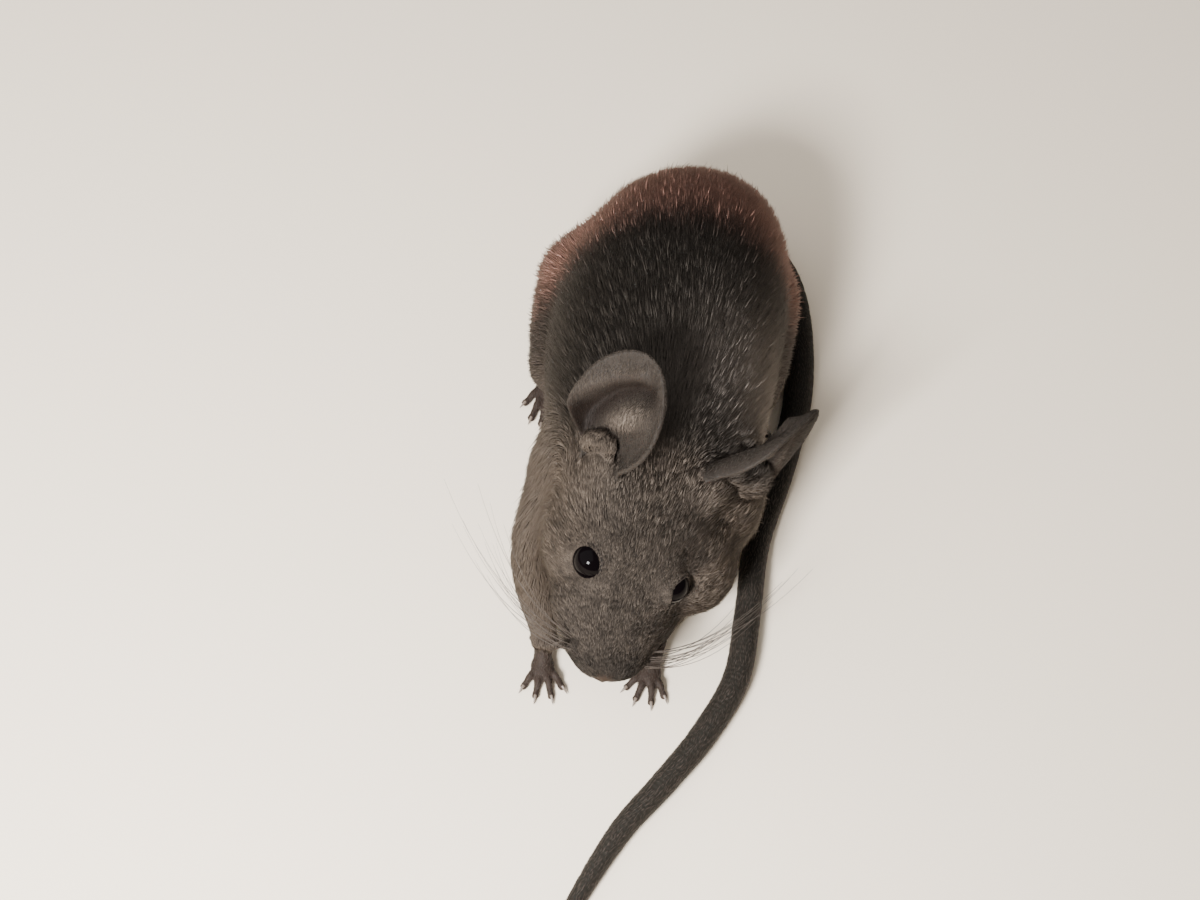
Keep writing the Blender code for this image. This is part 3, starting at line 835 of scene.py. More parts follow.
@dataclass
class Lids:
    """The two lids of an eye: a shell on the ball, thin at its edge and merging with the face outside it."""

    eye: EyePlace
    edge: float = 0.13 * MM  # its thickness at the opening
    root: float = 0.34 * MM  # and where it merges with the face
    steps: int = 72

    def build(self) -> bpy.types.Object:
        """The shell as a closed ring whose inner side is hidden in the ball."""
        aim, radius = self.eye.aim, self.eye.radius
        nose_ward, upward = self.eye.round_axes()
        profile = [(radius * 0.86, 0.10), (radius * 0.99, -0.02), (radius + self.edge * 0.8, 0.0)]
        for k in range(1, 11):
            beyond = 0.1 * k
            swell = float(eased(np.array(beyond), 0.05, 0.75))
            profile.append((radius + self.edge + (self.root - self.edge) * swell, beyond))
        profile.append((radius * 0.8, 1.05))
        bm = bmesh.new()
        rings = []
        for k in range(self.steps):
            turn = 2 * math.pi * k / self.steps
            start = float(self.eye.lid_edge(np.array(turn)))
            flat = nose_ward * math.cos(turn) + upward * math.sin(turn)
            rings.append([
                bm.verts.new(self.eye.middle + (aim * math.cos(start + a) + flat * math.sin(start + a)) * r)
                for r, a in profile
            ])
        for ring, after in zip(rings, rings[1:] + rings[:1]):
            for j in range(len(ring)):
                i = (j + 1) % len(ring)
                bm.faces.new((ring[j], ring[i], after[i], after[j]))
        bmesh.ops.recalc_face_normals(bm, faces=bm.faces)
        mesh = bpy.data.meshes.new("lids")
        bm.to_mesh(mesh)
        bm.free()
        return placed("lids", mesh)


@dataclass
class Pinna:
    """An ear as a thin cup of cartilage and skin."""

    ear: EarPlace
    thickness: float = 0.44 * MM
    columns: int = 52
    rows: int = 60
    below: float = 0.12  # of its length, hidden in the head

    def build(self) -> bpy.types.Object:
        """The cup."""
        bpy.ops.object.select_all(action="DESELECT")
        bpy.ops.mesh.primitive_grid_add(x_subdivisions=self.columns, y_subdivisions=self.rows, size=2.0)
        cup = bpy.context.view_layer.objects.active
        for vertex in cup.data.vertices:
            x, y = vertex.co.x, (vertex.co.y + 1) / 2
            along = math.sin(y * math.pi / 2 * 0.985) * (1 + self.below) - self.below
            vertex.co = self.ear.surface(x, along)
        applied(cup, "SOLIDIFY", thickness=self.thickness, offset=0.0)
        return cup


@dataclass
class Paw:
    """A fore paw or a hind foot: its sole, pads and slender jointed toes."""

    ankle: tuple[float, float]
    heading: float
    toes: tuple[tuple[float, float, float, float], ...]  # aside, ahead, spread in degrees, length
    toe_radius: float
    sole: tuple[tuple[float, float, float], ...]  # ahead, height, radius
    palm: tuple[float, float, float, float, float]  # ahead, height, radii ahead, aside, up

    def place(self, aside: float, ahead: float, up: float) -> Vector:
        """The point at these millimetres from the ankle, on the paw's heading."""
        h = math.radians(self.heading)
        x = self.ankle[0] + aside * math.cos(h) + ahead * math.sin(h)
        y = self.ankle[1] + aside * math.sin(h) - ahead * math.cos(h)
        return Vector((x, y, up)) * MM

    def build(self) -> list[bpy.types.Object]:
        """The forms that the paw is fused from."""
        turn = Matrix.Rotation(math.radians(self.heading), 3, "Z")
        ahead, height, long, wide, thick = self.palm
        made = [in_order(ball(self.place(0, ahead, height), Vector((wide, long, thick)) * MM, turn))]
        line = [self.place(0, along, up) for along, up, _ in self.sole]
        made.append(tube(line, [radius * MM for *_, radius in self.sole], sides=12))
        for toe in self.toes:
            places, radii = self._toe(toe)
            made.append(tube(places, radii, sides=12))
            pad = places[-1] + Vector((0, 0, -0.06)) * MM
            made.append(in_order(ball(pad, Vector((1, 1, 0.8)) * self.toe_radius * 1.12 * MM, turn, 16)))
        return made

    def _toe(self, toe: tuple[float, float, float, float]) -> tuple[list[Vector], list[float]]:
        """The middle line of a toe, arched at its knuckles, and its radii."""
        aside, ahead, spread, length = toe
        s = math.radians(spread)
        places, radii = [], []
        for k in range(9):
            t = k / 8
            arch = 0.62 + 0.42 * math.sin(math.pi * min(1.0, t * 1.15 + 0.12)) * (1 - 0.35 * t)
            up = max(self.toe_radius, arch - 0.30 * t)
            places.append(self.place(aside + math.sin(s) * length * t, ahead + math.cos(s) * length * t, up))
            knuckle = 1 + 0.14 * math.exp(-(((t - 0.45) / 0.1) ** 2)) - 0.10 * t
            radii.append(self.toe_radius * knuckle * MM)
        return places, radii

    def claws(self) -> list[bpy.types.Object]:
        """The claws, each hooked down from the top of its toe."""
        made = []
        for toe in self.toes:
            places, _ = self._toe(toe)
            way = (places[-1] - places[-3]).normalized()
            way = Vector((way.x, way.y, 0)).normalized()
            line, radii = [], []
            for k in range(7):
                t = k / 6
                drop = 0.10 * math.sin(t * math.pi * 0.55) * 3.2 * t
                spot = places[-1] + (way * (0.05 + 0.95 * t) + Vector((0, 0, 0.20 - drop))) * MM
                radii.append((0.17 * (1 - t) ** 0.7 + 0.012) * MM)
                line.append(Vector((spot.x, spot.y, max(spot.z, radii[-1] + 0.02 * MM))))
            made.append(tube(line, radii))
        return made


FORE_TOES = ((-1.0, 1.9, -34, 1.75), (-0.38, 2.15, -10, 2.3), (0.38, 2.15, 12, 2.3), (1.0, 1.9, 36, 1.75))
HIND_TOES = ((-1.25, 9.4, -30, 2.1), (-0.72, 10.1, -10, 3.0), (0.0, 10.3, 0, 3.2), (0.72, 10.1, 10, 3.0),
             (1.25, 9.4, 30, 2.1))
FORE_SOLE = ((-1.5, 3.6, 0.95), (-0.9, 2.3, 0.92), (0.3, 1.3, 0.95), (1.2, 0.95, 0.85))
HIND_SOLE = ((-1.0, 2.2, 1.2), (0.3, 1.5, 1.3), (2.5, 1.25, 1.1), (5.0, 1.1, 1.0), (8.8, 1.05, 1.05))
FORE_FORM = (FORE_TOES, 0.36, FORE_SOLE, (1.3, 0.8, 1.6, 1.25, 0.8))
HIND_FORM = (HIND_TOES, 0.4, HIND_SOLE, (9.0, 0.9, 1.9, 1.6, 0.9))
PAWS = {
    "forefoot_right": Paw((-7.54, -12.1), 6.0, *FORE_FORM),
    "forefoot_left": Paw((4.06, -11.3), -8.0, *FORE_FORM),
    "hindfoot_right": Paw((-8.34, 30.5), -7.0, *HIND_FORM),
    "hindfoot_left": Paw((12.66, 30.5), 5.0, *HIND_FORM),
}


@dataclass
class Tail:
    """The tail as one smooth tapering tube that lies on the floor."""

    bare: float = 0.08  # how much thinner it is than its solid, for its bristles
    steps: int = 220

    def radius(self, t: float) -> float:
        """Its radius in millimetres at t from 0 at the root to 1 at the tip."""
        return spline(TAIL_RADII, t * (len(TAIL_RADII) - 1)) - self.bare

    def build(self) -> bpy.types.Object:
        """The tube, from inside the rump to the tip."""
        places, radii = [], []
        for k in range(self.steps + 1):
            t = k / self.steps
            place = spline(TAIL_LINE, t * (len(TAIL_LINE) - 1))
            radius = self.radius(t) * MM
            place.z = max(place.z - self.bare * MM, radius * 0.97)
            places.append(place)
            radii.append(radius)
        way = (places[-1] - places[-4]).normalized()
        for gain, share in ((0.3, 0.9), (0.6, 0.65), (0.8, 0.35)):
            spot = places[self.steps] + way * gain * MM
            places.append(Vector((spot.x, spot.y, radii[self.steps] * share)))
            radii.append(radii[self.steps] * share)
        return tube(places, radii, sides=20)

    @staticmethod
    def along(points: np.ndarray) -> tuple[np.ndarray, np.ndarray]:
        """Millimetres from the root to each point's place along the tail, and the tail's direction there."""
        steps = np.linspace(0, len(TAIL_LINE) - 1, 600)
        line = np.array([spline(TAIL_LINE, t) for t in steps])
        ways = unit(np.gradient(line, axis=0))
        run = np.concatenate([[0], np.cumsum(np.linalg.norm(np.diff(line, axis=0), axis=1))])
        nearest = np.array([((line - q) ** 2).sum(axis=1).argmin() for q in points])
        beyond = np.sum((points - line[nearest]) * ways[nearest], axis=1)
        return (run[nearest] + beyond) / MM, ways[nearest]


@dataclass
class Skin:
    """One skin over all flesh: the furred body drawn in from the solids, and the bare forms fused to it."""

    growth: float = 0.24 * MM  # closes the gaps between the solids before they fuse
    rough_voxel: float = 0.27 * MM
    fine_voxel: float = 0.17 * MM
    most_triangles: int = 188_000
    draws: int = 5
    nose_at: tuple[float, float, float] = (10.3, 0, -3.45)  # of the bare pad's middle: ahead, aside, up
    nose_radii: tuple[float, float, float] = (0.85, 1.1, 0.8)
    socket_radius: float = 2.8  # millimetres, of the ball of flesh behind an eye
    socket_sunk: float = 1.15  # and how far it lies behind the eye's middle
    root_blend: float = 4.4  # millimetres round an ear's root over which it merges with the head
    hide: Hide = field(default_factory=Hide)
    surface: Surface = field(init=False)

    def build(self) -> bpy.types.Object:
        """Makes the skin.

        Returns:
            The skin's object, bound to the frame.
        """
        flesh = [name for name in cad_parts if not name.startswith(("eye_", "whiskers_"))]
        body = self._body()
        log.info("body drawn in")
        first = self.surface.triangles()[:, 0]
        patches = [(body, self.surface.region[first], self.surface.side[first])]
        for eye in EYES:
            patches.append(patch_of(Lids(eye).build(), Region.HEAD, eye.side.value))
        for ear in EARS:
            patches.append(patch_of(Pinna(ear).build(), Region.EAR, ear.side.value))
        for name, paw in PAWS.items():
            side = 1 if name.endswith("left") else -1
            patches += [patch_of(form, Region(name.split("_")[0]), side) for form in paw.build()]
        patches.append(patch_of(Tail().build(), Region.TAIL))
        pad = ball(HEAD.place(*self.nose_at), Vector(self.nose_radii) * MM, Matrix(HEAD.axes()).transposed())
        patches.append(patch_of(in_order(pad), Region.NOSE))
        tree = self._tree(patches)
        obj = joined("skin", [patch[0] for patch in patches])
        self._fuse(obj, self.fine_voxel)
        share = self.most_triangles / len(obj.data.polygons)
        if share < 1:
            applied(obj, "DECIMATE", decimate_type="COLLAPSE", ratio=share, use_collapse_triangulate=True)
        applied(obj, "SMOOTH", factor=0.5, iterations=3)
        log.info("skin fused")
        self._take_up(obj, *tree)
        self._engrave()
        self._set_fields()
        log.info("fields set")
        self._unwrap(obj)
        log.info("unwrapped")
        self._tint(obj)
        obj.data.materials.clear()
        obj.data.materials.append(self.hide.material())
        obj.data.shade_smooth()
        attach(obj, "root")
        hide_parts(*flesh)
        return obj

    def _body(self) -> bpy.types.Object:
        """The furred flesh: its solids fused and drawn in by the depth of the coat."""
        copies, patches = [], []
        for eye in EYES:
            middle = eye.middle - eye.aim * self.socket_sunk * MM
            radii = Vector((self.socket_radius,) * 3) * MM
            copies.append(in_order(ball(middle, radii, Matrix.Identity(3))))
            patches.append(patch_of(copies[-1], Region.HEAD, eye.side.value))
        for side in Side:
            copies.append(self._pad(side))
            patches.append(patch_of(copies[-1], Region.HEAD, side.value))
        for name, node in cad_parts.items():
            kind = name.split("_")[0]
            if kind in ("eye", "whiskers", "ear", "tail", "forefoot", "hindfoot"):
                continue
            copies.append(self._copy(node))
            patches.append(patch_of(copies[-1], Region(kind), 1 if name.endswith("left") else -1))
        tree = self._tree(patches)
        obj = joined("body", copies)
        applied(obj, "DISPLACE", strength=self.growth, mid_level=0.0, direction="NORMAL")
        self._fuse(obj, self.rough_voxel)
        applied(obj, "SMOOTH", factor=0.5, iterations=4)
        self._take_up(obj, *tree)
        points = self.surface.points()
        near = self._root_near(points)[0][:, None]
        self.surface.move(mixed(points, relaxed(points, self.surface.edges(), 260), near))
        self._set_fields()
        self._draw_in()
        return obj

    @staticmethod
    def _copy(node: bpy.types.Object) -> bpy.types.Object:
        """A copy of a solid, its triangles merged."""
        copy = node.copy()
        copy.data = copy.data.copy()
        copy.data.materials.clear()
        bpy.context.scene.collection.objects.link(copy)
        edited(copy, bpy.ops.mesh.remove_doubles, threshold=0.0005 * MM)
        return copy

    def _pad(self, side: Side) -> bpy.types.Object:
        """The pad that the whiskers of one side grow from, cut free of them."""
        copy = self._copy(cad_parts[f"whiskers_{side.word}"])
        (ahead, aside, up), radii = WHISKER_PAD
        place = HEAD.place(ahead, aside * side.value, up)
        cutter = in_order(ball(place, Vector(radii) * 1.04 * MM, Matrix(HEAD.axes()).transposed(), 32))
        applied(copy, "BOOLEAN", operation="INTERSECT", solver="EXACT", object=cutter)
        bpy.data.objects.remove(cutter)
        return in_order(copy)

    def _fuse(self, obj: bpy.types.Object, voxel: float) -> None:
        """Fuses all shells of the object to one closed mesh of triangles."""
        applied(obj, "REMESH", mode="VOXEL", voxel_size=voxel, adaptivity=0.0)
        self._keep_largest(obj)
        applied(obj, "TRIANGULATE")

    @staticmethod
    def _tree(patches: list[tuple]) -> tuple[BVHTree, np.ndarray, np.ndarray]:
        """A tree over the faces of the patches, with the region and side of each face."""
        corners, faces, regions, sides = [], [], [], []
        for obj, region, side in patches:
            start = len(corners)
            corners += [v.co.copy() for v in obj.data.vertices]
            faces += [[start + i for i in polygon.vertices] for polygon in obj.data.polygons]
            regions.append(region)
            sides.append(side)
        return BVHTree.FromPolygons(corners, faces), np.concatenate(regions), np.concatenate(sides)

    def _take_up(self, obj: bpy.types.Object, tree: BVHTree, region: np.ndarray, side: np.ndarray) -> None:
        """Makes the fused mesh the skin's surface, each vertex of the region and side nearest to it."""
        nearest = np.array([tree.find_nearest(v.co)[2] for v in obj.data.vertices])
        self.surface = Surface(obj, region[nearest], side[nearest])
        self.surface.fields["crease"] = np.zeros(len(nearest))

    @staticmethod
    def _keep_largest(obj: bpy.types.Object) -> None:
        """Deletes all but the largest connected shell."""
        mesh = obj.data
        edges = read(mesh.edges, "vertices", 2, np.int32)
        label = np.arange(len(mesh.vertices))
        while True:
            low = np.minimum(label[edges[:, 0]], label[edges[:, 1]])
            new = label.copy()
            np.minimum.at(new, edges[:, 0], low)
            np.minimum.at(new, edges[:, 1], low)
            new = new[new]
            if (new == label).all():
                break
            label = new
        best = np.bincount(label).argmax()
        if (label == best).all():
            return
        bm = bmesh.new()
        bm.from_mesh(mesh)
        bm.verts.ensure_lookup_table()
        bmesh.ops.delete(bm, geom=[bm.verts[i] for i in np.nonzero(label != best)[0]], context="VERTS")
        bm.to_mesh(mesh)
        bm.free()

    def _engrave(self) -> None:
        """Presses in the nostrils, the cleft under the nose, the line of the mouth and the tear ducts."""
        s = self.surface
        p = s.points()
        inward = -s.normals()
        depths = [self._groove(p, *CLEFT)]
        for side in Side:
            for (ahead, aside, up), wide, deep in NOSTRILS:
                away = length_of(p - np.array(HEAD.place(ahead, aside * side.value, up)))
                depths.append(deep * np.exp(-((away / wide) ** 2)))
            line, wide, deep = MOUTH
            depths.append(self._groove(p, [(a, b * side.value, c) for a, b, c in line], wide, deep))
        for eye in EYES:
            corner = eye.edge_points(np.array([INNER_CORNER]))[0]
            nose_ward, upward = (np.array(axis) for axis in eye.round_axes())
            (ahead, up), wide, deep = TEAR_DUCT
            end = corner + (nose_ward * ahead + upward * up) * MM
            line = [tuple(row) for row in HEAD.parts(np.stack([corner, end])).tolist()]
            depths.append(self._groove(p, line, wide, deep))
        depth = np.maximum.reduce(depths)
        s.fields["crease"] = np.clip(depth / 0.3, 0, 1)
        s.move(floored(p + inward * (depth * MM)[:, None]))

    @staticmethod
    def _groove(p: np.ndarray, line: tuple | list, wide: float, deep: float) -> np.ndarray:
        """The depth of a groove along a line in the head's frame, at each point."""
        best = to_line(p, [np.array(HEAD.place(*spot)) for spot in line]) / MM
        return deep * np.exp(-((best / wide) ** 2))

    def _set_fields(self) -> None:
        """Sets what the coat needs to know at each vertex, and the tints of coat and skin."""
        s = self.surface
        p, edges = s.points(), s.edges()
        self._set_growth(p, edges)
        s.fields["lie"] = self._lie(p, edges)
        s.fields["tint"] = self._coat_tint(p, edges)
        s.fields["hide"] = self._bare_tint(s.fields["tint"], edges)
        self._dress_ears(p)

    def _set_growth(self, p: np.ndarray, edges: np.ndarray) -> None:
        """Sets the coat's depth, length, width, cover and wildness at each vertex, smooth across regions."""
        s = self.surface
        ahead, up = HEAD.parts(p)[:, 0], p[:, 2] / MM
        on_limb = eased(up, 2.2, 11.0)
        shares = {
            Region.TRUNK: eased(up, 2.0, 9.0),
            Region.HEAD: 1 - eased(ahead, -7.0, 9.5),
            Region.FORELEG: on_limb,
            Region.HINDLEG: on_limb,
        }
        fields = [np.zeros(len(p)) for _ in range(4)]
        for region, grown in GROWTH.items():
            mine = s.is_in(region)
            for values, ends in zip(fields, grown):
                values[mine] = mixed(*ends, shares[region][mine]) if isinstance(ends, tuple) else ends
        at_root = self._root_near(p)[0] * ~s.is_in(Region.EAR)
        fields = [mixed(values, there, 0.9 * at_root) for values, there in zip(fields, AT_EAR_ROOT)]
        eye_near, beyond = min_of([eye.past_edge(p) for eye in EYES])
        lid = 1 - eased(beyond, 0.20, 0.40)
        off_rim = eased(eye_near, 2.2, 4.8)
        depth, length, width = (mixed(there, values, off_rim) for values, there in zip(fields, AT_EYE))
        crease = s.fields["crease"]
        cover = fields[3] * (1 - lid) * (1 - crease)
        length *= 1 - 0.4 * crease
        smooth = relaxed(np.stack([depth, length, width], axis=1), edges, 30)
        s.fields["depth"], s.fields["length"], s.fields["width"] = smooth.T
        s.fields["cover"] = relaxed(cover, edges, 3)
        wild = s.is_in(Region.HEAD) * (1 - at_root) * (1 - 0.6 * eased(-ahead, 4.0, 9.0))
        s.fields["wild"] = relaxed(wild[:, None], edges, 20)[:, 0]
        s.fields["lid"] = lid

    def _root_near(self, p: np.ndarray) -> tuple[np.ndarray, np.ndarray]:
        """How near each point is to an ear's root, and the way along the nearer ear."""
        away = np.stack([length_of(p - np.array(ear.surface(-0.45, 0.05))) for ear in EARS])
        along = np.array([ear.axes()[1][:] for ear in EARS])
        return np.exp(-((away.min(axis=0) / self.root_blend) ** 4)), along[away.argmin(axis=0)]

    def _dress_ears(self, p: np.ndarray) -> None:
        """Longer pale hairs on the swelling in each ear and on its ridge, whose paleness on the ridge is
        partly painted highlight; painted shade in its hollow and its notch.
        """
        s, hide = self.surface, self.hide
        for ear in EARS:
            mine = s.is_in(Region.EAR) & (s.side == ear.side.value)
            a, b, c = (np.array(axis) for axis in ear.axes())
            away = (p - np.array(ear.base())) / MM
            inside = mine & (s.normals() @ c > -0.2)
            spots = np.stack([away @ a / ear.half_width, away @ b / ear.length], axis=1)
            mound, ridge = ear_mound(spots) * inside, near_line(spots, EAR_RIDGE, 0.9) * inside
            hollow = near_line(spots, EAR_GROOVE, 1.35) * inside * (1 - mound)
            from_notch = (spots - np.array([0.68, 0.18])) / np.array([0.30, 0.16])
            notch = np.exp(-(from_notch**2).sum(axis=1)) * inside
            s.fields["length"] += 0.8 * mound + 0.3 * ridge
            s.fields["width"] += 0.02 * mound
            s.fields["cover"] += (2.6 * mound + 0.8 * ridge) * (1 - 0.8 * hollow)
            s.fields["depth"] += 0.25 * mound
            # pale: hairs of the swelling and the ridge, on the ridge partly a painted highlight; dark:
            # painted shade in the groove and the notch
            pale = np.clip(mound + 0.5 * ridge, 0, 1)[:, None]
            dark = np.clip(hollow + notch, 0, 1)[:, None]
            for name, share, code in (
                ("tint", 0.9 * pale, hide.ear_down),
                ("hide", 0.7 * pale, hide.pinna_pale),
                ("hide", 0.95 * dark, hide.hollow),
                ("tint", 0.8 * dark, hide.hollow),
            ):
                s.fields[name] = mixed(s.fields[name], tone(code), share)

    def _lie(self, p: np.ndarray, edges: np.ndarray) -> np.ndarray:
        """The direction in which the hairs lie at each vertex: from the nose back, and down the limbs."""
        s = self.surface
        flow = np.zeros_like(p)
        forward, left, upward = (np.array(a) for a in HEAD.axes())
        parts = HEAD.parts(p)
        rump = eased(p[:, 1] / MM, 22.0, 40.0)[:, None]
        to_tail = unit(np.array(TAIL_LINE[0]) - p)
        body = mixed(np.array([0.0, 1.0, -0.3]), to_tail, rump * 0.8)
        head = -forward + 0.10 * np.sign(parts[:, 1:2]) * eased(np.abs(parts[:, 1:2]), 1.0, 5.0) * left
        head = head - 0.35 * upward * eased(-parts[:, 2:3], 0.0, 5.0)
        for eye in EYES:
            away = p - np.array(eye.middle)
            near = np.exp(-((length_of(away)[:, None] / 3.0) ** 2))
            head = head + unit(away) * near * 1.2
        for regions, ways in (((Region.TRUNK, Region.NECK), body), ((Region.HEAD, Region.NOSE), head)):
            mine = s.is_in(*regions)
            flow[mine] = ways[mine]
        flow[s.is_in(Region.FORELEG)] = (0.05, -0.6, -0.75)
        flow[s.is_in(Region.HINDLEG)] = (0.0, 0.55, -0.7)
        flow[s.is_in(Region.FOREFOOT, Region.HINDFOOT)] = (0.0, -1.0, -0.1)
        for ear in EARS:
            mask = s.is_in(Region.EAR) & (s.side == ear.side.value)
            flow[mask] = np.array(ear.axes()[1])
        root_near, along = self._root_near(p)
        at_root = (root_near * ~s.is_in(Region.EAR))[:, None]
        flow = mixed(flow, along, 0.75 * at_root)
        tail = s.is_in(Region.TAIL)
        if tail.any():
            flow[tail] = Tail.along(p[tail])[1]
        flow = relaxed(flow, edges, 60)
        normals = s.normals()
        flow -= normals * np.sum(flow * normals, axis=1, keepdims=True)
        return unit(flow)

    def _coat_tint(self, p: np.ndarray, edges: np.ndarray) -> np.ndarray:
        """The coat's colour at each vertex, with the markings of the back, the rump and the head, painted
        light on the nape and a painted shade line before the rump.
        """
        s, pelage, marks = self.surface, Pelage(), MarkingsAndShading()
        x, y, up = (p / MM).T
        coat = np.tile(tone(pelage.back), (len(p), 1))
        flank = (1 - eased(up, *marks.flank))[:, None]
        coat = mixed(coat, tone(pelage.flank), flank * 0.8)
        belly = eased(-s.normals()[:, 2], 0.2, 0.8)[:, None]
        coat = mixed(coat, tone(pelage.belly), belly)
        # painted light: a paler pool on the nape and shoulders
        (nape_x, nape_y), (wide, long) = marks.nape_light_at, marks.nape_light_size
        nape_light = np.exp(-(((x - nape_x) / wide) ** 2) - ((y - nape_y) / long) ** 2)[:, None] * (1 - belly)
        coat = mixed(coat, tone(pelage.nape_light), nape_light)
        start, bow, middle = marks.brink
        brink = start - bow * (x - middle) ** 2
        rump = (eased(y, brink - 1.0, brink + 2.0) * eased(up, *marks.rump))[:, None] * (1 - belly)
        coat = mixed(coat, tone(pelage.rump), rump * 0.85)
        # painted shade: a dark line across the back where it meets the rump
        before, wide = marks.fold_shade
        fold_shade = np.exp(-(((y - brink + before) / wide) ** 2))[:, None] * (1 - belly)
        coat = mixed(coat, tone(pelage.root), fold_shade * 0.7)
        ahead, aside, _ = HEAD.parts(p).T
        side = eased(np.abs(aside), *marks.cheek)[:, None]
        head = s.is_in(Region.HEAD, Region.NOSE)[:, None]
        coat = np.where(head, mixed(tone(pelage.crown), tone(pelage.cheek), side), coat)
        coat = np.where(s.is_in(Region.FORELEG)[:, None], tone(pelage.cheek) * 0.8, coat)
        crown = (1 - eased(ahead, *marks.crown)) * eased(ahead, *marks.crown_back)
        crown = crown * (1 - eased(np.abs(aside), *marks.crown_side)) - 0.3 * self._root_near(p)[0]
        muzzle = eased(ahead, *marks.muzzle)
        coat = coat * (1 + (1.1 * crown - 0.62 * muzzle)[:, None] * head)
        coat = relaxed(coat, edges, 25)
        coat[s.is_in(Region.EAR)] = tone(self.hide.ear_down) * 0.3
        return coat

    def _bare_tint(self, coat: np.ndarray, edges: np.ndarray) -> np.ndarray:
        """The bare skin's colour at each vertex, near the coat's where it is hidden under hairs, with painted
        shade in its pressed creases.
        """
        s, hide = self.surface, self.hide
        bare = mixed(tone(hide.under_coat), coat, 0.35)
        for code, regions in (
            (hide.pinna, (Region.EAR,)),
            (hide.foot, (Region.FOREFOOT, Region.HINDFOOT)),
            (hide.tail, (Region.TAIL,)),
            (hide.nose, (Region.NOSE,)),
        ):
            bare[s.is_in(*regions)] = tone(code)
        bare = relaxed(bare, edges, 6)
        bare = mixed(bare, tone(hide.lid), s.fields["lid"][:, None])
        # painted shade darkens the skin in the nostrils, the mouth, the cleft lip and the tear ducts
        return mixed(bare, bare * 0.45, s.fields["crease"][:, None])

    def _draw_in(self) -> None:
        """Draws the skin in by the growth and the coat's depth, little by little."""
        s = self.surface
        edges = s.edges()
        depth = s.fields["depth"][:, None] * MM + self.growth
        furred = eased(s.fields["depth"], 0.15, 0.6)[:, None]
        for _ in range(self.draws):
            moved = s.points() - s.normals() * depth / self.draws
            moved = mixed(moved, relaxed(moved, edges, 2), furred)
            s.move(floored(moved))

    @staticmethod
    def _unwrap(obj: bpy.types.Object) -> None:
        """Unwraps the skin by the directions of its faces."""
        edited(obj, bpy.ops.uv.smart_project, angle_limit=math.radians(66), island_margin=0.0015)
        obj.data.uv_layers[0].name = BAKE_MAP

    def _tint(self, obj: bpy.types.Object) -> None:
        """Stores the skin's colour and the way along the tail as attributes."""
        s = self.surface
        paint(obj.data, s.fields["hide"])
        p = s.points()
        tail = s.is_in(Region.TAIL)
        run, bare = np.zeros(len(p), np.float32), tail.astype(np.float32)
        run[tail] = Tail.along(p[tail])[0]
        for name, values in ((TAIL_RUN, run), (TAIL_SKIN, bare)):
            obj.data.attributes.new(name, "FLOAT", "POINT").data.foreach_set("value", values)


# ---------------------------------------------------------------- coat


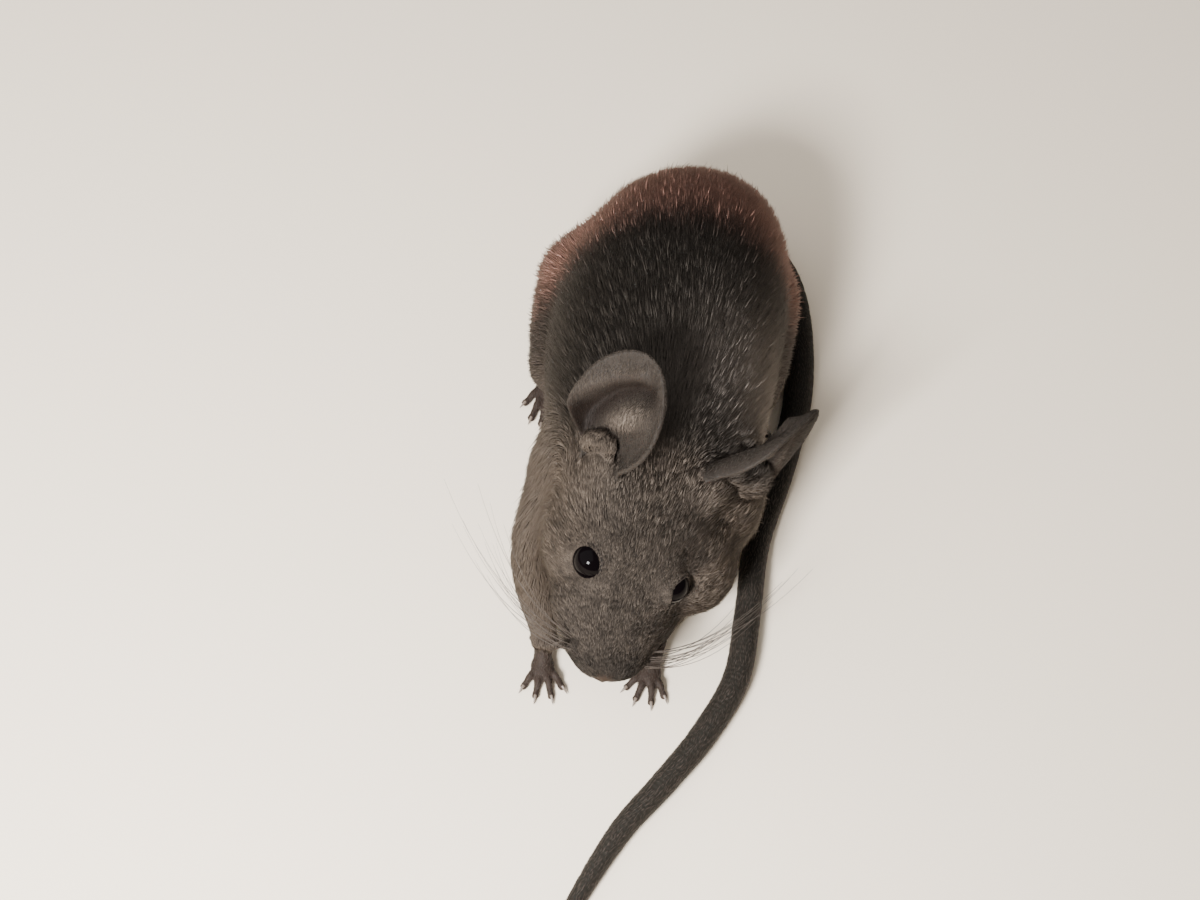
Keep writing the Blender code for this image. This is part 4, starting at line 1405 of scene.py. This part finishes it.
@dataclass
class Coat:
    """The fur as solid tufts: spindles that leave the skin, bend with the body and end in a point."""

    surface: Surface
    pelage: Pelage = field(default_factory=Pelage)
    most_in_piece: int = 32_000
    patch: float = 0.0015  # half a tuft's patch on the bake map
    in_lock: int = 45  # tufts that share a lock's shade
    in_clump: int = 14  # tufts whose tips are drawn together
    lengths: tuple[float, float] = (0.72, 1.15)  # from the shortest to the longest, in shares of the usual
    lean: float = 0.16  # how unevenly the tufts lean aside, in radians
    sway: float = 0.22  # how far the coat's waves turn them, in radians
    sunk: float = 0.06  # how deep their roots sit, in millimetres
    bend: tuple[float, float] = (0.45, 0.55)  # a tuft's length before and after its bend, in shares
    loft: tuple[float, float] = (0.55, 1.0)  # from the flattest tuft to the fullest
    rise: tuple[float, float] = (0.62, 0.98)  # how high bend and tip stand, in shares of the coat's depth
    stray: tuple[float, float] = (0.02, 1.35)  # the share of tufts that stand out of the coat, and how far
    pale_tips: float = 0.30  # the share of tufts with a pale tip
    dark_tips: float = 0.42  # and with a pale or a dark one
    waves: tuple[float, ...] = (2.2, 3.7, 6.1, 9.0)  # lengths in millimetres

    def build(self) -> list[bpy.types.Object]:
        """Grows the whole coat.

        Returns:
            Its pieces, each under the most triangles that a piece may have. Its pieces,
            each of no more than the set number of tufts.
        """
        rng = np.random.default_rng(SEED)
        roots = self._scatter(rng)
        strands = self._strands(roots, rng)
        return self._pieces(roots, strands, rng)

    def _scatter(self, rng: np.random.Generator) -> dict[str, np.ndarray]:
        """Spreads the roots over the skin, denser where hairs are short and fine."""
        s = self.surface
        points, faces = s.points(), s.triangles()
        corner = points[faces]
        area = np.linalg.norm(np.cross(corner[:, 1] - corner[:, 0], corner[:, 2] - corner[:, 0]), axis=1) / 2
        area /= MM * MM
        f = {k: v[faces].mean(axis=1) for k, v in s.fields.items()}
        density = 2 * f["cover"] / np.maximum(f["length"] * f["width"], 1e-3)
        total = np.cumsum(area * density)
        count = int(total[-1])
        picks = (np.arange(count) + rng.random(count)) / count * total[-1]
        face = np.minimum(np.searchsorted(total, picks), len(faces) - 1)
        u, v = rng.random((2, count))
        over = u + v > 1
        u[over], v[over] = 1 - u[over], 1 - v[over]
        weights = np.stack([1 - u - v, u, v], axis=1)
        made = {"at": np.einsum("ij,ijk->ik", weights, corner[face])}
        made["normal"] = unit(np.einsum("ij,ijk->ik", weights, s.normals()[faces[face]]))
        for name, values in s.fields.items():
            at_corners = values[faces[face]]
            shape = "ij,ij->i" if at_corners.ndim == 2 else "ij,ijk->ik"
            made[name] = np.einsum(shape, weights, at_corners)
        made["region"] = s.region[faces[face, 0]]
        uv = read(s.obj.data.uv_layers[BAKE_MAP].data, "uv", 2)
        made["uv"] = np.einsum("ij,ijk->ik", weights, uv.reshape(-1, 3, 2)[face])
        return made

    def _strands(self, roots: dict[str, np.ndarray], rng: np.random.Generator) -> dict[str, np.ndarray]:
        """Lays each hair along the skin: its root, its middle and its tip."""
        s = self.surface
        count = len(roots["at"])
        points, faces = s.points(), s.triangles()
        tree = BVHTree.FromPolygons([Vector(p) for p in points], faces.tolist())
        normals = s.normals()
        face_normal = unit(normals[faces].mean(axis=1))
        face_lie = unit(s.fields["lie"][faces].mean(axis=1))
        face_depth = s.fields["depth"][faces].mean(axis=1)

        def settled(places: np.ndarray) -> tuple[np.ndarray, np.ndarray]:
            """The nearest point of the skin to each place, and its face."""
            found = [tree.find_nearest(q) for q in places.tolist()]
            return np.array([f[0] for f in found]), np.array([f[2] for f in found])

        length = roots["length"] * rng.uniform(*self.lengths, count) * MM
        wild = 1 + 0.7 * roots["wild"]
        lean = (rng.normal(0.0, self.lean, count) + self.sway * self._waves(roots["at"], rng)) * wild
        normal, lie = roots["normal"], unit(roots["lie"])
        across = np.cross(normal, lie)
        way = unit(lie + across * np.tan(lean)[:, None])
        root = roots["at"] - normal * self.sunk * MM
        middle, face = settled(roots["at"] + way * (length * self.bend[0])[:, None])
        onward = unit(way * 0.5 + face_lie[face] * 0.5)
        tip, tip_face = settled(middle + onward * (length * self.bend[1])[:, None])
        loft = rng.uniform(*self.loft, count) ** 0.8
        loft = np.where(rng.random(count) < self.stray[0], loft * self.stray[1], loft)
        middle = middle + face_normal[face] * (face_depth[face] * MM * self.rise[0] * loft)[:, None]
        tip = tip + face_normal[tip_face] * (face_depth[tip_face] * MM * self.rise[1] * loft)[:, None]
        tip = floored(self._clumped(roots["at"], tip, rng), 0.04)
        return {"root": root, "middle": floored(middle, 0.04), "tip": tip, "across": across}

    def _locks(self, roots: dict[str, np.ndarray], rng: np.random.Generator) -> np.ndarray:
        """The shade of the lock that each hair belongs to, about 1, most varied on the head."""
        at = roots["at"]
        leads = rng.permutation(len(at))[: max(1, len(at) // self.in_lock)]
        shade = rng.uniform(-1.0, 1.0, len(leads))
        return 1 + shade[nearest_of(at, leads)] * (0.07 + 0.23 * roots["wild"])

    def _waves(self, places: np.ndarray, rng: np.random.Generator) -> np.ndarray:
        """A gentle waving of the coat, from -1 to 1, some millimetres long."""
        made = np.zeros(len(places))
        for wavelength in self.waves:
            way = rng.normal(size=3)
            way /= np.linalg.norm(way)
            made += np.sin(places @ way / (wavelength * MM) * 2 * math.pi + rng.uniform(0, 6.28))
        return made / len(self.waves)

    def _clumped(self, at: np.ndarray, tip: np.ndarray, rng: np.random.Generator) -> np.ndarray:
        """Draws tips together into small locks, as a lived-in coat parts."""
        count = len(at)
        leads = rng.permutation(count)[: max(1, count // self.in_clump)]
        lead = leads[nearest_of(at, leads)]
        share = rng.uniform(0.1, 0.55, count)[:, None]
        offset = (at - at[lead]) * 0.35
        return tip * (1 - share) + (tip[lead] + offset) * share

    def _colours(self, roots: dict[str, np.ndarray], rng: np.random.Generator) -> np.ndarray:
        """Root, middle and tip colour of each hair."""
        count = len(roots["at"])
        varied = 0.07 + 0.15 * roots["wild"]
        base = roots["tint"] * (self._locks(roots, rng) + varied * rng.uniform(-1, 1, count))[:, None]
        dark = tone(self.pelage.root)
        furred = eased(roots["length"], 0.6, 1.6)[:, None]
        depth = (0.40 + 0.35 * roots["wild"])[:, None]
        root = mixed(base * 0.75, mixed(base, dark, depth), furred)
        kind = rng.random(count)[:, None]
        light = (base.mean(axis=1, keepdims=True) / np.mean(linear(self.pelage.cheek))).clip(0.2, 1.0)
        pale, deep = tone(self.pelage.pale_tip) * light, tone(self.pelage.dark_tip)
        share = (0.14 + 0.40 * roots["wild"])[:, None]
        tip = np.where(kind < self.dark_tips, mixed(base, deep, share * 1.5), base)
        tip = np.where(kind < self.pale_tips, mixed(base, pale, share), tip)
        return np.stack([root, base, tip], axis=1)

    def _pieces(self, roots: dict, strands: dict, rng: np.random.Generator) -> list[bpy.types.Object]:
        """Cuts the coat into pieces by region and makes their meshes."""
        colours = self._colours(roots, rng)
        finish = self.pelage.material()
        made = []
        for name, regions in COAT_PARTS.items():
            mine = np.nonzero(np.isin(roots["region"], [region.number for region in regions]))[0]
            mine = mine[np.argsort(roots["at"][mine, 1], kind="stable")]
            parts = max(1, math.ceil(len(mine) / self.most_in_piece))
            for k, share in enumerate(np.array_split(mine, parts)):
                if not len(share):
                    continue
                label = f"coat_{name}" if parts == 1 else f"coat_{name}_{k + 1}"
                obj = self._mesh(label, {n: v[share] for n, v in strands.items()}, colours[share],
                                 roots["uv"][share], roots["width"][share])
                obj.data.materials.append(finish)
                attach(obj, "root")
                made.append(obj)
                log.info("%s: %d tufts", label, len(share))
        return made

    def _mesh(self, name: str, strands: dict, colours: np.ndarray, uv: np.ndarray,
              width: np.ndarray) -> bpy.types.Object:
        """One piece of the coat as a mesh of closed spindles.

        Args:
            name: the piece's name.
            strands: root, middle, tip and across of each hair.
            colours: root, middle and tip colour of each hair.
            uv: each root's place on the bake map.
            width: each hair's width in millimetres.

        Returns:
            The piece.
        """
        count = len(uv)
        along = unit(strands["tip"] - strands["root"])
        across = unit(np.cross(strands["across"], along))
        flat = unit(np.cross(along, across))
        half = (width * MM * 0.5)[:, None]
        corners = np.empty((count, 5, 3))
        corners[:, 0], corners[:, 4] = strands["root"], strands["tip"]
        for k, turn in enumerate((90, 210, 330)):
            a = math.radians(turn)
            corners[:, 1 + k] = strands["middle"] + (flat * math.cos(a) + across * math.sin(a) * 0.7) * half
        corners = floored(corners, 0.02)
        pattern = np.array([(0, 2, 1), (0, 3, 2), (0, 1, 3), (4, 1, 2), (4, 2, 3), (4, 3, 1)])
        loops = (pattern.ravel()[None, :] + np.arange(count)[:, None] * 5).ravel()
        mesh = bpy.data.meshes.new(name)
        mesh.vertices.add(count * 5)
        mesh.vertices.foreach_set("co", corners.astype(np.float32).ravel())
        mesh.loops.add(len(loops))
        mesh.loops.foreach_set("vertex_index", loops.astype(np.int32))
        mesh.polygons.add(count * 6)
        mesh.polygons.foreach_set("loop_start", np.arange(0, len(loops), 3, dtype=np.int32))
        mesh.update(calc_edges=True)
        spots = np.array([(0, -1), (-0.8, 0), (0.8, 0), (0, 0.2), (0, 1)]) * self.patch
        places = (uv[:, None, :] + spots[None]).reshape(-1, 2)[loops]
        mesh.uv_layers.new(name=BAKE_MAP).data.foreach_set("uv", places.astype(np.float32).ravel())
        paint(mesh, colours[:, [0, 1, 1, 1, 2]].reshape(-1, 3))
        mesh.shade_smooth()
        return placed(name, mesh)


# ---------------------------------------------------------------- eyes, whiskers, claws


@dataclass
class Eye:
    """An eyeball with its cornea a little fuller than the ball."""

    place: EyePlace
    bulge: float = 0.04

    def build(self) -> bpy.types.Object:
        """Makes the eye in place of its solid."""
        turn = Vector((0, 0, 1)).rotation_difference(self.place.aim).to_matrix()
        obj = ball(Vector((0, 0, 0)), Vector((self.place.radius,) * 3), Matrix.Identity(3), 48)
        for vertex in obj.data.vertices:
            height = max(0.0, vertex.co.normalized().z)
            vertex.co *= 1 + self.bulge * height**3 - 0.02
        obj.data.transform(Matrix.Translation(self.place.middle) @ turn.to_4x4())
        obj.name = obj.data.name = f"eyeball_{self.place.side.word}"
        obj.data.materials.append(Cornea().material())
        obj.data.shade_smooth()
        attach(obj, "root")
        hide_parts(f"eye_{self.place.side.word}")
        return obj


@dataclass
class Whiskers:
    """The whiskers of one side: rows on the pad behind the nose, long behind and short in front."""

    side: Side
    across: int = 4  # from the pad's upper edge to its lower
    along: int = 4  # from behind to the front
    length: float = 19.0 * MM
    sweep: float = 0.6  # of its length, how far a tip is swept aside
    root_radius: float = 0.055 * MM
    tip_radius: float = 0.012 * MM

    def build(self) -> bpy.types.Object:
        """Makes them as one piece, those at the pad's corners in place of the solid ones."""
        rng = np.random.default_rng(SEED + 7 + self.side.value)
        hind, fore = np.array([np.concatenate(w) for w in WHISKERS]).reshape(2, 2, 10)
        made = []
        for i in range(self.across):
            for j in range(self.along):
                down, front = i / (self.across - 1), j / (self.along - 1)
                blend = mixed(mixed(*hind, down), mixed(*fore, down), front)
                if 0 < i < self.across - 1 or 0 < j < self.along - 1:
                    uneven = rng.normal(0, 0.08, 3), rng.normal(0, 0.07, 6), [rng.uniform(-0.18, 0)]
                    blend += np.concatenate(uneven)
                made.append(self._strand(blend.tolist()))
        obj = joined(f"whiskers_{self.side.word}", made)
        obj.data.materials.append(Horn("whisker_keratin", "4a423c").material())
        obj.data.shade_smooth()
        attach(obj, "root")
        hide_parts(f"whiskers_{self.side.word}")
        return obj

    def _strand(self, form: list[float]) -> bpy.types.Object:
        """A whisker that leaves the lip outward and sweeps back to a fine tip.

        Args:
            form: its root, way out and way of its sweep in the head's frame, and its share of the longest.

        Returns:
            The whisker.
        """
        x, y, z = form[:3]
        out, back = (HEAD.direction(tuple(form[k : k + 3]), self.side) for k in (3, 6))
        root = HEAD.place(x, y * self.side.value, z) - out * 0.5 * MM
        length = self.length * form[9]
        places, radii = [], []
        for t in np.linspace(0, 1, 14).tolist():
            place = root + out * (length * t * (1 - 0.25 * t)) + back * (length * self.sweep * t * t)
            place.z = max(place.z, 0.3 * MM)
            places.append(place)
            radii.append(float(self.root_radius * (1 - t) + self.tip_radius * t))
        return tube(places, radii, sides=4)


@dataclass
class Claws:
    """The claws of one foot."""

    name: str

    def build(self) -> bpy.types.Object:
        """Makes them as one piece."""
        obj = joined(f"claws_{self.name}", PAWS[self.name].claws())
        obj.data.materials.append(Horn("claw_horn", "6f6258").material())
        obj.data.shade_smooth()
        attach(obj, "root")
        return obj


# ---------------------------------------------------------------- studio


@dataclass
class Studio:
    """The pale floor, the soft lights and the camera."""

    camera_at: Vector = Vector((-20.94, -112.2, 197.5)) * MM
    azimuth: float = math.radians(-8.0)
    elevation: float = math.radians(57.0)
    roll: float = math.radians(14.0)
    lens: float = 62.8
    floor_colour: str = "f8e9d4"
    key_below: float = 0.055  # metres from the camera down to the key light
    key_aside: float = 0.08
    fill_at: Vector = Vector((-0.25, -0.05, 0.30))
    key: tuple[float, float] = (0.055, 1.95)  # the key light's size in metres and its watts
    fill: tuple[float, float] = (0.6, 1.8)
    sky: tuple[tuple[float, ...], float] = ((1.0, 0.95, 0.88, 1), 0.30)  # the room's light and its strength

    def build(self) -> None:
        """Sets up the floor, the lights and the camera."""
        self._floor()
        right, up, back = self._axes()
        self._lamp("key", self.camera_at - up * self.key_below - right * self.key_aside, *self.key)
        self._lamp("fill", self.fill_at, *self.fill)
        world = bpy.data.worlds.new("studio")
        world.use_nodes = True
        for name, value in zip(("Color", "Strength"), self.sky):
            world.node_tree.nodes["Background"].inputs[name].default_value = value
        bpy.context.scene.world = world
        data = bpy.data.cameras.new("camera")
        data.sensor_width = 36.0
        data.lens = self.lens
        data.clip_start, data.clip_end = 0.01, 10.0
        camera = placed("camera", data)
        turn = Matrix((right, up, back)).transposed().to_4x4()
        camera.matrix_world = Matrix.Translation(self.camera_at) @ turn
        bpy.context.scene.camera = camera

    def _axes(self) -> tuple[Vector, Vector, Vector]:
        """The camera's right, up and backward directions."""
        a, e, r = self.azimuth, self.elevation, self.roll
        back = Vector((math.sin(a) * math.cos(e), -math.cos(a) * math.cos(e), math.sin(e)))
        level = Vector((math.cos(a), math.sin(a), 0.0))
        upward = back.cross(level)
        right = level * math.cos(r) + upward * math.sin(r)
        return right, back.cross(right), back

    def _floor(self) -> None:
        """A wide plain floor of matt plaster."""
        bpy.ops.object.select_all(action="DESELECT")
        bpy.ops.mesh.primitive_plane_add(size=3.0)
        floor = bpy.context.view_layer.objects.active
        floor.name = "floor"
        finish = dressed(new_material("matt_plaster"), (*linear(self.floor_colour), 1.0), roughness=0.9)
        floor.data.materials.append(finish)

    @staticmethod
    def _lamp(name: str, at: Vector, size: float, watts: float) -> None:
        """A square area light that faces the mouse."""
        data = bpy.data.lights.new(name, "AREA")
        data.size = size
        data.energy = watts
        lamp = placed(name, data)
        lamp.location = at
        lamp.rotation_mode = "QUATERNION"
        lamp.rotation_quaternion = (at - Vector((-0.002, 0.0, 0.01))).to_track_quat("Z", "Y")


def main() -> None:
    """Builds the mouse and its studio, and logs the sizes of the skin and the coat."""
    logging.basicConfig(level=logging.INFO, format="%(relativeCreated)d ms %(message)s")
    skin = Skin()
    skin.build()
    log.info("skin: %d triangles", len(skin.surface.obj.data.polygons))
    pieces = Coat(skin.surface).build()
    log.info("coat: %d pieces, %d triangles", len(pieces), sum(len(p.data.polygons) for p in pieces))
    for place in EYES:
        Eye(place).build()
    for side in Side:
        Whiskers(side).build()
    for name in PAWS:
        Claws(name).build()
    Studio().build()
    log.info("studio set up")


if __name__ == "__main__":
    main()
